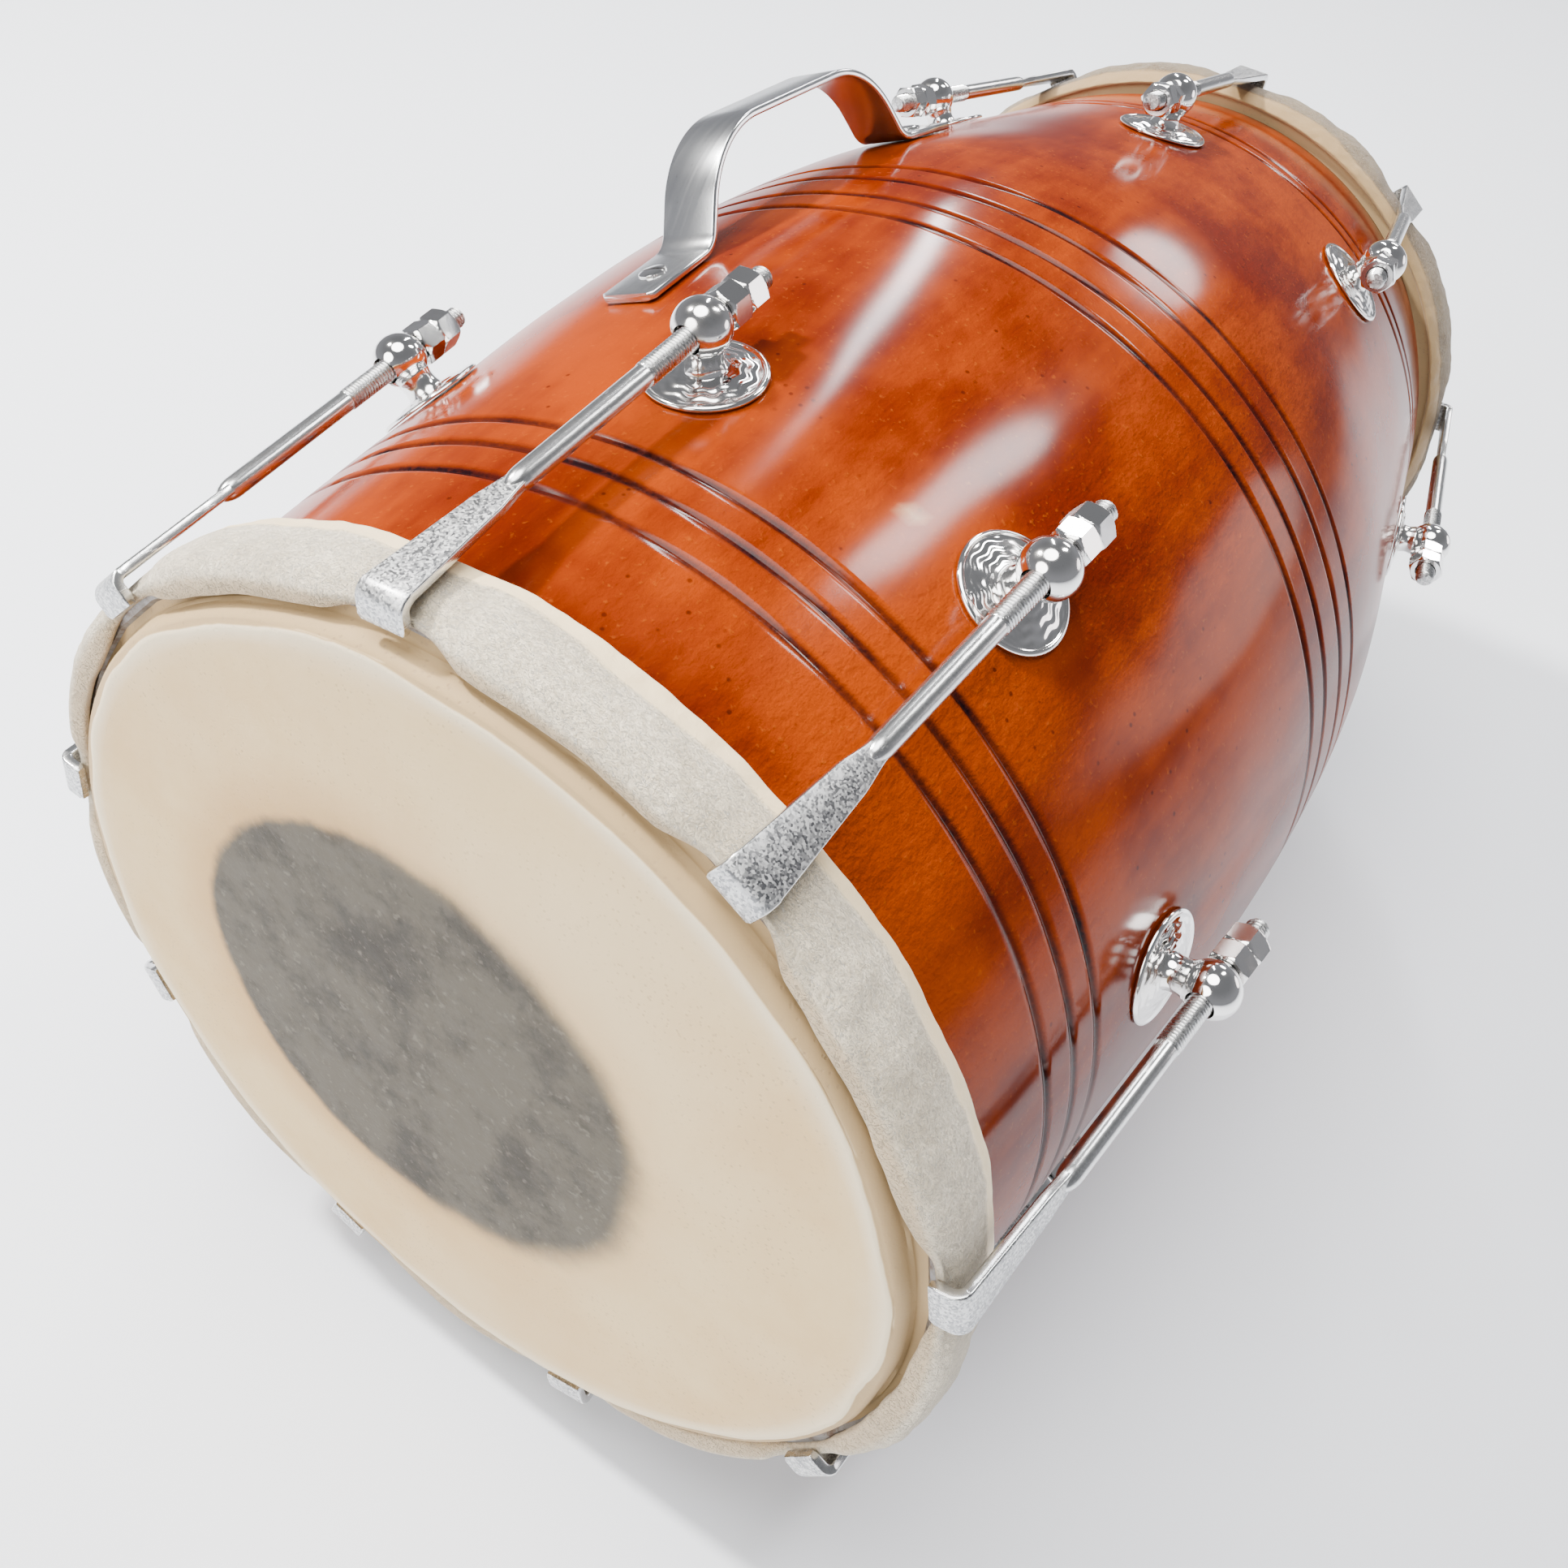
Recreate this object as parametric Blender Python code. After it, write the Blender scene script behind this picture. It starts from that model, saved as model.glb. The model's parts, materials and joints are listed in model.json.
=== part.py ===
"""Dholak: a two-headed barrel drum with hook-and-nut tuning, lying on its side.

The drum is modelled about its own axis, which runs along Y from the bass head
(y = 0 at the outer face of the bass hooks) to the treble head (y = SPAN). The
parent empty "drum" then tips it slightly, so that the lowest lugs of both
heads stand on the floor, and moves it over the world origin.

Angles go round the drum axis from straight up (+Z) towards +X, in degrees.
Each tuning station is an empty at the centre of its lug's ball, with local Z
along the hook rod, away from the head, and local X pointing outwards. The rod
slides along that Z, and the nut turns about it.
"""
import math

import bmesh
import bpy
from mathutils import Matrix, Vector

# Overall (metres)
SPAN = 0.461                # between the outer faces of the two rings of hooks
WALL = 0.012                # thickness of the carved barrel wall
GAP = 0.0003                # clearance between touching pieces
SEGMENTS = 40               # flats round every large turned piece

# Outline of the barrel: (distance from the bass hooks, outer radius)
BARREL = [(0.0, 0.1190), (0.020, 0.1218), (0.050, 0.1265), (0.103, 0.1329), (0.155, 0.1390),
          (0.213, 0.1423), (0.265, 0.1408), (0.320, 0.1336), (0.370, 0.1265), (0.420, 0.1190),
          (0.441, 0.1140), (SPAN, 0.1085)]
BARREL_STATIONS = 19        # rings of vertices along the barrel
SLOPE_SPAN = 0.02           # length over which the barrel's slope is taken
EDGE_ROUND = 0.003          # chamfer of the bearing edges

# Skins, hoops and the folded collar
SKIN = 0.0012               # thickness of the skin
HEAD_PROUD = 0.0018         # how far a skin stands beyond the hooks' outer faces
HOOP_BACK = 0.0155          # back of the steel hoop, from the hooks' outer faces
HOOP_WIDTH = 0.0044         # radial width of the hoop
HOOP_TRIM = 0.0009          # its chamfer
COLLAR_EDGE = 0.0215        # raw edge of the folded collar, from the hooks' outer faces
COLLAR_THICK = 0.0027       # the two layers of skin outside the hoop
PASTE_RADIUS = 0.066        # tuning paste on the inner face of the bass skin
PASTE_THICK = 0.0015

# Hook straps and rods
STRAP_WIDTH = 0.0105
STRAP_THICK = 0.0025
STRAP_CHAMFER = 0.0006
LIP = 0.008                 # length of the bent end that grips the hoop
ROD_RADIUS = 0.0029
STRAP_END = 0.040           # where the strap has become a round rod, from the hooks' outer faces
TAPER = 0.012               # length over which it does so
ROD_PAST_BALL = 0.0255      # rod end beyond the centre of the ball
ROD_CHAMFER = 0.0007

# Lugs
BALL_RADIUS = 0.0072
BALL_ARCS = 6               # flats from one mouth of its bore to the other
LUG_SIDES = 10
BORE_RADIUS = 0.0036
POST_RADIUS = 0.0043
POST_TOP = 0.0041           # top of the post below the centre of the ball, inside it
WASHER_RADIUS = 0.0150
WASHER_STEP = 0.0090        # radius of its raised middle
WASHER_RIM = 0.0007         # height of its rim, of its raised middle's edge and at the post
WASHER_SHOULDER = 0.0015
WASHER_RISE = 0.0022
SHANK_RADIUS = 0.0025
HOLE_RADIUS = 0.0032
INNER_NUT_RADIUS = 0.0055
INNER_NUT_LENGTH = 0.005
INNER_SEAT = 0.0010         # clears the flats of the inner wall

# Tuning nuts: a nut and its lock nut, jammed together
NUT_FLATS = 0.0100
NUT_LENGTH = 0.0134
NUT_CHAMFER = 0.0008
NUT_BORE = 0.0036
UNDERNEATH = 0.5            # radians from straight down within which a nut is under the drum

# Handle: a steel strap bent into a bow
HANDLE_ANGLE = -25.0
HANDLE_CENTRE = 0.213
HANDLE_SPAN = 0.106         # between the feet of its legs
HANDLE_TOP = 0.1695         # radius of its outer face at the crown
HANDLE_LEAN = 0.014         # how far each leg leans in on its way up
HANDLE_WIDTH = 0.0175
HANDLE_THICK = 0.0022
FOOT_LENGTH = 0.029
BEND_RADIUS = 0.008
CROWN_RADIUS = 0.030

# The two heads. Lugs and hooks stand at the angles at which they were drilled by hand.
HEADS = {
    "bass": {"strap": 0.1333, "ball": 0.1460, "reach": 0.1030,
             "angles": (-48.5, -7.0, 30.5, 75.5, 121.0, 161.5, 198.5, 239.0, 273.0)},
    "treble": {"strap": 0.1254, "ball": 0.1408, "reach": 0.1045,
               "angles": (-37.5, 0.5, 37.5, 81.0, 121.5, 161.5, 198.5, 241.5, 282.0)},
}


def clear_scene():
    for thing in list(bpy.data.objects):
        bpy.data.objects.remove(thing, do_unlink=True)


def material(name, colour, roughness, metallic=0.0):
    made = bpy.data.materials.new(name)
    made.use_nodes = True
    shader = made.node_tree.nodes["Principled BSDF"]
    shader.inputs["Base Color"].default_value = (*colour, 1.0)
    shader.inputs["Roughness"].default_value = roughness
    shader.inputs["Metallic"].default_value = metallic
    return made


def barrel_radius(y):
    """Outer radius of the barrel at y: a Catmull-Rom curve through its outline's points."""
    for i in range(len(BARREL) - 1):
        if y <= BARREL[i + 1][0]:
            break
    before, after = BARREL[max(i - 1, 0)], BARREL[min(i + 2, len(BARREL) - 1)]
    (y0, r0), (y1, r1) = BARREL[i], BARREL[i + 1]
    t = (y - y0) / (y1 - y0)
    start = (r1 - before[1]) / (y1 - before[0]) * (y1 - y0)
    end = (after[1] - r0) / (after[0] - y0) * (y1 - y0)
    return (r0 * (2 * t**3 - 3 * t**2 + 1) + start * (t**3 - 2 * t**2 + t)
            + r1 * (3 * t**2 - 2 * t**3) + end * (t**3 - t**2))


def barrel_slope(y):
    half = SLOPE_SPAN / 2
    return (barrel_radius(y + half) - barrel_radius(y - half)) / SLOPE_SPAN


def head_y(head, depth):
    """The y of a point at this depth behind the outer faces of a head's hooks."""
    return depth if head == "bass" else SPAN - depth


def add_object(name, bm, mat, parent, smooth_angle=35.0):
    bmesh.ops.remove_doubles(bm, verts=bm.verts, dist=1e-6)
    bmesh.ops.recalc_face_normals(bm, faces=bm.faces)
    mesh = bpy.data.meshes.new(name)
    bm.to_mesh(mesh)
    bm.free()
    mesh.shade_smooth()
    mesh.set_sharp_from_angle(angle=math.radians(smooth_angle))
    mesh.materials.append(mat)
    return link(name, mesh, parent)


def link(name, data, parent):
    made = bpy.data.objects.new(name, data)
    bpy.context.scene.collection.objects.link(made)
    made.parent = parent
    return made


def spun(bm, outline, steps, axis, across, close=True):
    """Turns an outline of (radius, distance along the axis) into a surface in bm."""
    points = [bm.verts.new(across * r + axis * along) for r, along in outline]
    edges = [bm.edges.new(pair) for pair in zip(points, points[1:])]
    if close:
        edges.append(bm.edges.new((points[-1], points[0])))
    bmesh.ops.spin(bm, geom=points + edges, cent=(0, 0, 0), axis=axis, angle=2 * math.pi,
                   steps=steps, use_merge=True, use_duplicate=False)


def boolean(target, other, operation):
    modifier = target.modifiers.new(operation.title(), "BOOLEAN")
    modifier.operation = operation
    modifier.solver = "EXACT"
    modifier.object = other
    other.hide_render = True
    other.display_type = "WIRE"


def station_matrix(head, angle):
    """Place of a tuning station in the drum's frame."""
    spec = HEADS[head]
    rise = math.atan2(spec["ball"] - (spec["strap"] - STRAP_THICK / 2), spec["reach"])
    away = 1 if head == "bass" else -1
    turn = math.radians(angle)
    outwards = Vector((math.sin(turn), 0, math.cos(turn)))
    along = Vector((0, away, 0))
    z_axis = outwards * math.sin(rise) + along * math.cos(rise)
    x_axis = outwards * math.cos(rise) - along * math.sin(rise)
    y_axis = z_axis.cross(x_axis)
    place = outwards * spec["ball"] + Vector((0, head_y(head, spec["reach"]), 0))
    return Matrix((x_axis, y_axis, z_axis)).transposed().to_4x4(), place, rise


def post_frame(head):
    """Tilt of the post against the rod, and the height of the ball above the barrel."""
    spec = HEADS[head]
    y = head_y(head, spec["reach"])
    slope = barrel_slope(y) if head == "bass" else -barrel_slope(y)
    rise = station_matrix(head, 0.0)[2]
    tilt = rise - math.atan(slope)
    height = (spec["ball"] - barrel_radius(y)) * math.cos(math.atan(slope))
    return tilt, height


def make_shell(mat, drum):
    first = -HEAD_PROUD + SKIN + GAP
    last = SPAN - first
    outline = [(barrel_radius(0) - EDGE_ROUND, first), (barrel_radius(0), first + EDGE_ROUND)]
    for i in range(1, BARREL_STATIONS):
        y = SPAN * i / BARREL_STATIONS
        outline.append((barrel_radius(y), y))
    outline += [(barrel_radius(SPAN), last - EDGE_ROUND), (barrel_radius(SPAN) - EDGE_ROUND, last)]
    inside = [(barrel_radius(SPAN) - WALL, last)]
    for i in range(BARREL_STATIONS - 1, 0, -2):
        y = SPAN * i / BARREL_STATIONS
        inside.append((barrel_radius(y) - WALL, y))
    inside.append((barrel_radius(0) - WALL, first))
    bm = bmesh.new()
    spun(bm, outline + inside, SEGMENTS, Vector((0, 1, 0)), Vector((1, 0, 0)))
    shell = add_object("shell", bm, mat, drum)

    cutters = bmesh.new()
    for head, spec in HEADS.items():
        tilt, height = post_frame(head)
        for angle in spec["angles"]:
            axes, place, _ = station_matrix(head, angle)
            lean = Matrix.Rotation(math.pi / 2 - tilt, 4, "Y")
            down = Matrix.Translation((0, 0, -height - WALL / 2))
            bmesh.ops.create_cone(cutters, cap_ends=True, segments=8, radius1=HOLE_RADIUS,
                                  radius2=HOLE_RADIUS, depth=WALL * 2,
                                  matrix=Matrix.Translation(place) @ axes @ lean @ down)
    cutter = add_object("lug_holes", cutters, mat, drum)
    boolean(shell, cutter, "DIFFERENCE")
    return shell


def hoop_radii(head):
    """Inner and outer radius of a head's hoop, which clears the skin on the barrel."""
    inner = barrel_radius(head_y(head, HOOP_BACK + GAP)) + SKIN + 3 * GAP
    return inner, inner + HOOP_WIDTH


def make_skin(head, mat, drum):
    """Membrane, the wall that follows the barrel, and the wrap round the hoop to the collar."""
    inner, outer = hoop_radii(head)
    front = STRAP_THICK + GAP
    back = HOOP_BACK + GAP
    edge = barrel_radius(head_y(head, 0)) + GAP

    def wall(depth, extra):
        return barrel_radius(head_y(head, depth)) + GAP + extra

    membrane_in = -HEAD_PROUD + SKIN
    outline = [
        (0.0, -HEAD_PROUD), (edge + SKIN - EDGE_ROUND, -HEAD_PROUD),
        (edge + SKIN, -HEAD_PROUD + EDGE_ROUND), (wall(back, SKIN), back),
        (outer + GAP, back), (outer + GAP, front + SKIN),
        (inner + GAP, front + SKIN), (inner + GAP, front),
        (outer + GAP + COLLAR_THICK - SKIN, front), (outer + GAP + COLLAR_THICK, front + SKIN),
        (outer + GAP + COLLAR_THICK, COLLAR_EDGE), (outer + GAP + SKIN, COLLAR_EDGE),
        (outer + GAP, back + SKIN), (wall(back + SKIN, 0), back + SKIN),
        (edge, -HEAD_PROUD + SKIN + EDGE_ROUND), (edge - EDGE_ROUND, membrane_in),
    ]
    if head == "bass":
        paste = membrane_in + PASTE_THICK
        outline += [(PASTE_RADIUS, membrane_in), (PASTE_RADIUS - PASTE_THICK, paste), (0.0, paste)]
    else:
        outline.append((0.0, membrane_in))
    bm = bmesh.new()
    axis = Vector((0, 1 if head == "bass" else -1, 0))
    spun(bm, outline, SEGMENTS, axis, Vector((1, 0, 0)), close=False)
    skin = add_object(f"{head}_skin", bm, mat, drum)
    skin.location.y = head_y(head, 0)
    return skin


def make_hoop(head, mat, drum):
    inner, outer = hoop_radii(head)
    front = STRAP_THICK + SKIN + 2 * GAP
    outline = [(inner, front + HOOP_TRIM), (inner + HOOP_TRIM, front), (outer - HOOP_TRIM, front),
               (outer, front + HOOP_TRIM), (outer, HOOP_BACK - HOOP_TRIM),
               (outer - HOOP_TRIM, HOOP_BACK), (inner + HOOP_TRIM, HOOP_BACK),
               (inner, HOOP_BACK - HOOP_TRIM)]
    bm = bmesh.new()
    axis = Vector((0, 1 if head == "bass" else -1, 0))
    spun(bm, outline, SEGMENTS, axis, Vector((1, 0, 0)))
    hoop = add_object(f"{head}_hoop", bm, mat, drum)
    hoop.location.y = head_y(head, 0)
    return hoop


def section(width, thick, chamfer):
    """Eight corners of a bar's section, as (tangential, outwards)."""
    w, t = width / 2, thick / 2
    return [(w, t - chamfer), (w - chamfer, t), (chamfer - w, t), (-w, t - chamfer),
            (-w, chamfer - t), (chamfer - w, -t), (w - chamfer, -t), (w, chamfer - t)]


def round_section(radius):
    """Eight corners of a rod's section, in step with those of a bar."""
    turns = [math.radians(22.5 + 45.0 * i) for i in range(8)]
    return [(radius * math.cos(a), radius * math.sin(a)) for a in turns]


def hook_mesh(head, mat):
    """Hook bolt in its station's frame: lip, strap, taper and rod."""
    spec = HEADS[head]
    rise = station_matrix(head, 0.0)[2]
    flat = section(STRAP_WIDTH, STRAP_THICK, STRAP_CHAMFER)
    start = -spec["reach"] / math.cos(rise)
    middle = Vector((0, 0, start + STRAP_THICK / 2 / math.cos(rise)))
    lip_way = Vector((-math.cos(rise), 0, -math.sin(rise)))
    lip_end = middle + lip_way * (LIP - STRAP_THICK / 2)
    mitre = Vector((1, 0, -math.tan(math.pi / 4 - rise / 2)))
    rings = [(lip_end, flat, Vector((math.sin(rise), 0, -math.cos(rise))))]
    rings.append((middle, flat, mitre))
    taper_end = start + STRAP_END / math.cos(rise)
    rings.append((Vector((0, 0, taper_end - TAPER)), flat, Vector((1, 0, 0))))
    for z, radius in ((taper_end, ROD_RADIUS), (ROD_PAST_BALL - ROD_CHAMFER, ROD_RADIUS),
                      (ROD_PAST_BALL, ROD_RADIUS - ROD_CHAMFER)):
        rings.append((Vector((0, 0, z)), round_section(radius), Vector((1, 0, 0))))
    bm = bmesh.new()
    loops = []
    for centre, corners, up in rings:
        loops.append([bm.verts.new(centre + Vector((0, across, 0)) + up * out)
                      for across, out in corners])
    for low, high in zip(loops, loops[1:]):
        for i in range(8):
            bm.faces.new((low[i], low[(i + 1) % 8], high[(i + 1) % 8], high[i]))
    bm.faces.new(loops[0])
    bm.faces.new(loops[-1])
    made = add_object(f"{head}_hook", bm, mat, None)
    return take_mesh(made)


def take_mesh(made):
    """Keeps an object's mesh for its copies to share, and removes the object."""
    mesh = made.data
    bpy.data.objects.remove(made, do_unlink=True)
    return mesh


def nut_mesh(mat):
    """Hexagonal nut and lock nut about local Z, resting against the ball's far side."""
    start = math.sqrt(BALL_RADIUS**2 - NUT_BORE**2) + GAP
    end = start + NUT_LENGTH
    corner = NUT_FLATS / math.sqrt(3)
    bm = bmesh.new()
    z, x = Vector((0, 0, 1)), Vector((1, 0, 0))
    turned = Matrix.Rotation(math.radians(30), 3, "Z") @ x
    outline = [(NUT_BORE, start), (corner - NUT_CHAMFER, start), (corner, start + NUT_CHAMFER),
               (corner, end - NUT_CHAMFER), (corner - NUT_CHAMFER, end), (NUT_BORE, end)]
    spun(bm, outline, 6, z, turned)
    return take_mesh(add_object("nut", bm, mat, None, 20.0))


def make_lug(name, head, mat, station):
    """Bored ball on a turned post, with its washer, threaded shank and inner nut."""
    tilt, height = post_frame(head)
    half = math.asin(BORE_RADIUS / BALL_RADIUS)
    arc = [half + (math.pi - 2 * half) * i / BALL_ARCS for i in range(BALL_ARCS + 1)]
    outline = [(BALL_RADIUS * math.sin(a), BALL_RADIUS * math.cos(a)) for a in arc]
    ball = bmesh.new()
    spun(ball, outline, LUG_SIDES, Vector((0, 0, 1)), Vector((1, 0, 0)))
    lug = add_object(name, ball, mat, station)

    down, side = Vector((-1, 0, 0)), Vector((0, 1, 0))
    seat = height - GAP
    inside = height + WALL + INNER_SEAT
    outline = [(0.0, POST_TOP), (POST_RADIUS, POST_TOP), (POST_RADIUS, seat - WASHER_RISE),
               (WASHER_STEP, seat - WASHER_SHOULDER), (WASHER_RADIUS, seat - WASHER_RIM),
               (WASHER_RADIUS, seat), (SHANK_RADIUS, seat), (SHANK_RADIUS, inside),
               (INNER_NUT_RADIUS, inside), (INNER_NUT_RADIUS, inside + INNER_NUT_LENGTH),
               (0.0, inside + INNER_NUT_LENGTH)]
    post = bmesh.new()
    spun(post, outline, LUG_SIDES, down, side, close=False)
    bmesh.ops.rotate(post, verts=post.verts, cent=(0, 0, 0), matrix=Matrix.Rotation(-tilt, 3, "Y"))
    other = add_object(f"{name}_post", post, mat, station)
    boolean(lug, other, "UNION")
    return lug


def rounded_path(corners, steps=5):
    """Straight runs joined by arcs: corners are (y, r, bend radius)."""
    path = [Vector(corners[0][:2])]
    for before, here, after in zip(corners, corners[1:], corners[2:]):
        point = Vector(here[:2])
        back = (Vector(before[:2]) - point).normalized()
        on = (Vector(after[:2]) - point).normalized()
        half = back.angle(on) / 2
        reach = here[2] / math.tan(half)
        centre = point + (back + on).normalized() * here[2] / math.sin(half)
        first, last = point + back * reach - centre, point + on * reach - centre
        sweep = first.angle_signed(last)
        for i in range(steps + 1):
            turn = Matrix.Rotation(-sweep * i / steps, 2)
            path.append(centre + turn @ first)
    path.append(Vector(corners[-1][:2]))
    return path


def make_handle(mat, drum):
    """Bow of flat strap: two feet on the barrel, two leaning legs and a crown."""
    half = HANDLE_SPAN / 2
    lift = GAP + HANDLE_THICK / 2
    crown = HANDLE_TOP - HANDLE_THICK / 2
    corners = []
    for side in (-1, 1):
        bend = HANDLE_CENTRE + side * half
        mid = bend + side * FOOT_LENGTH / 2
        slope = barrel_slope(mid)
        level = barrel_radius(mid) + lift
        ends = [(mid + side * FOOT_LENGTH / 2, level + slope * side * FOOT_LENGTH / 2, 0.0),
                (bend, level - slope * side * FOOT_LENGTH / 2, BEND_RADIUS),
                (bend - side * HANDLE_LEAN, crown, CROWN_RADIUS)]
        corners += ends if side < 0 else ends[::-1]
    path = rounded_path(corners)
    bm = bmesh.new()
    upper, lower = [], []
    for i, point in enumerate(path):
        ahead = path[min(i + 1, len(path) - 1)] - path[max(i - 1, 0)]
        normal = Vector((-ahead.y, ahead.x)).normalized() * HANDLE_THICK / 2
        for side, store in ((1, upper), (-1, lower)):
            spot = point + normal * side
            store.append(bm.verts.new((-HANDLE_WIDTH / 2, spot.x, spot.y)))
    strips = [bm.faces.new((upper[i], upper[i + 1], lower[i + 1], lower[i]))
              for i in range(len(path) - 1)]
    grown = bmesh.ops.extrude_face_region(bm, geom=strips)
    moved = [v for v in grown["geom"] if isinstance(v, bmesh.types.BMVert)]
    bmesh.ops.translate(bm, verts=moved, vec=(HANDLE_WIDTH, 0, 0))
    handle = add_object("handle", bm, mat, drum)
    handle.rotation_euler.y = math.radians(HANDLE_ANGLE)
    return handle


def lowest_ball(head):
    """Depth of the lowest ball of a head under the drum axis, and its y."""
    spec = HEADS[head]
    depth = max(-spec["ball"] * math.cos(math.radians(a)) for a in spec["angles"])
    return depth, head_y(head, spec["reach"])


def stand_on_floor(drum):
    """Tips the drum until the lowest balls of both heads are level, then centres it on the floor."""
    (bass, y_bass), (treble, y_treble) = lowest_ball("bass"), lowest_ball("treble")
    drum.rotation_euler.x = -math.atan2(bass - treble, y_treble - y_bass)
    bpy.context.view_layer.update()
    graph = bpy.context.evaluated_depsgraph_get()
    low, high = [math.inf] * 3, [-math.inf] * 3
    for thing in bpy.context.scene.objects:
        if thing.type != "MESH" or thing.hide_render:
            continue
        evaluated = thing.evaluated_get(graph)
        for vertex in evaluated.to_mesh().vertices:
            spot = evaluated.matrix_world @ vertex.co
            low = [min(a, b) for a, b in zip(low, spot)]
            high = [max(a, b) for a, b in zip(high, spot)]
    drum.location = (-(low[0] + high[0]) / 2, -(low[1] + high[1]) / 2, -low[2])


def main():
    clear_scene()
    lacquer = material("lacquered_wood", (0.42, 0.075, 0.018), 0.22)
    hide = material("goat_skin", (0.80, 0.70, 0.53), 0.75)
    chrome = material("chrome", (0.80, 0.80, 0.82), 0.12, 1.0)
    plated = material("plated_steel", (0.62, 0.63, 0.65), 0.32, 1.0)
    iron = material("hoop_steel", (0.30, 0.29, 0.28), 0.5, 1.0)

    drum = link("drum", None, None)
    make_shell(lacquer, drum)
    make_handle(plated, drum)
    nut = nut_mesh(chrome)
    for head, spec in HEADS.items():
        make_skin(head, hide, drum)
        make_hoop(head, iron, drum)
        hook = hook_mesh(head, plated)
        for number, angle in enumerate(spec["angles"], 1):
            axes, place, _ = station_matrix(head, angle)
            station = link(f"{head}_station_{number}", None, drum)
            station.matrix_local = Matrix.Translation(place) @ axes
            link(f"{head}_hook_{number}", hook, station)
            make_lug(f"{head}_lug_{number}", head, chrome, station)
            turned = link(f"{head}_nut_{number}", nut, station)
            from_floor = math.radians(angle - 180.0)
            # a nut under the drum turns a flat to the floor, and the others stand anyhow
            turned.rotation_euler.z = from_floor if abs(from_floor) < UNDERNEATH else number
    stand_on_floor(drum)


main()
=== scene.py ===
import json
import math

import bpy
import numpy as np
from mathutils import Matrix, Vector


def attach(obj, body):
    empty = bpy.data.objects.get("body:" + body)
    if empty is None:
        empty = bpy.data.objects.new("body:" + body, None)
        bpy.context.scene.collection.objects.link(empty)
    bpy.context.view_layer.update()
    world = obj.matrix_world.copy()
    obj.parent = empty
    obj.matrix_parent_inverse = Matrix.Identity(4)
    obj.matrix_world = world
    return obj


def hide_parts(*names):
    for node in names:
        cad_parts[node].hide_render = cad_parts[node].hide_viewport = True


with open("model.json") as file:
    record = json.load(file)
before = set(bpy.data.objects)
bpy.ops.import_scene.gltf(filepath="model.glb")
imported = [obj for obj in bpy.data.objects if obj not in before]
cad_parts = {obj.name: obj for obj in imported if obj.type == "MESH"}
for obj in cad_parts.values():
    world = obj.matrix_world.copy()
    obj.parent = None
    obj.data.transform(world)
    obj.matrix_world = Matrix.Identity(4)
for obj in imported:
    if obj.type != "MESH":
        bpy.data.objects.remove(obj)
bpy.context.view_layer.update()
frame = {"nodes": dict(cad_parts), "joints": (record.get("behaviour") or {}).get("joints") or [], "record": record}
print("frame loaded:", len(frame["nodes"]), "nodes")

headProud = 0.0018  # how far a skin stands beyond its hooks
mounts = {mount["name"]: mount for mount in frame["record"]["mounts"]}
joints = {joint["name"]: joint for joint in frame["joints"]}


def unit(vector):
    return vector / np.linalg.norm(vector)


# The drum's own directions and length, from its two heads.
alongDrum = -unit(np.array(mounts["bass_head"]["axis"], float))
rightOfDrum = np.array([1.0, 0.0, 0.0])
upFromDrum = np.cross(rightOfDrum, alongDrum)
drumStart = np.array(mounts["bass_head"]["pos_m"], float) + alongDrum * headProud
drumEnd = np.array(mounts["treble_head"]["pos_m"], float) - alongDrum * headProud
drumSpan = (drumEnd - drumStart) @ alongDrum


# A point of the drum: the axis point at `along`, plus `radius` turned by `turn` from the top towards +X.
def drumPoint(radius, turn, along):
    radius, turn, along = np.broadcast_arrays(radius, turn, along)
    sideways = (radius * np.sin(turn))[..., None] * rightOfDrum
    upwards = (radius * np.cos(turn))[..., None] * upFromDrum
    return drumStart + along[..., None] * alongDrum + sideways + upwards


def smoothStep(low, high, value):
    t = np.clip((value - low) / (high - low), 0.0, 1.0)
    return t * t * (3 - 2 * t)


# A soft random field: the mean of many sine waves of nearly one wavelength, each in its own direction.
def ripple(points, wavelength, seed, waves=28):
    rng = np.random.default_rng(seed)
    directions = rng.normal(size=(waves, 3))
    directions /= np.linalg.norm(directions, axis=1)[:, None]
    lengths = wavelength * rng.uniform(0.6, 1.7, waves)
    phases = rng.uniform(0, 2 * math.pi, waves)
    field = np.zeros(points.shape[:-1])
    for direction, length, phase in zip(directions, lengths, phases):
        field += np.sin(points[..., :3] @ direction * (2 * math.pi / length) + phase)
    return field / math.sqrt(waves)


# Joins a grid of points (rows, columns, channels) into faces. Columns close on themselves. Rows close
# too when `ring` is true, and otherwise both ends are shut by a fan to their middle.
def closedGrid(points, ring=False):
    rows, columns = points.shape[:2]
    row = np.arange(rows if ring else rows - 1)[:, None]
    column = np.arange(columns)[None, :]
    nextRow, nextColumn = (row + 1) % rows, (column + 1) % columns
    corners = [row * columns + column, row * columns + nextColumn,
               nextRow * columns + nextColumn, nextRow * columns + column]
    quads = np.stack(corners, -1).reshape(-1, 4)
    flat = points.reshape(-1, points.shape[-1])
    triangles = np.zeros((0, 3), int)
    if not ring:
        flat = np.vstack([flat, points[0].mean(0), points[-1].mean(0)])
        here = np.arange(columns)
        there = (here + 1) % columns
        last = (rows - 1) * columns
        first = np.stack([there, here, np.full(columns, rows * columns)], 1)
        closing = np.stack([last + here, last + there, np.full(columns, rows * columns + 1)], 1)
        triangles = np.vstack([first, closing])
    split = np.vstack([triangles, quads[:, :3], quads[:, [0, 2, 3]]])
    a, b, c = (flat[split[:, k], :3] - flat[0, :3] for k in range(3))
    if np.einsum("ij,ij->i", a, np.cross(b, c)).sum() < 0:
        quads, triangles = quads[:, ::-1], triangles[:, ::-1]
    return flat, quads, triangles


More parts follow.
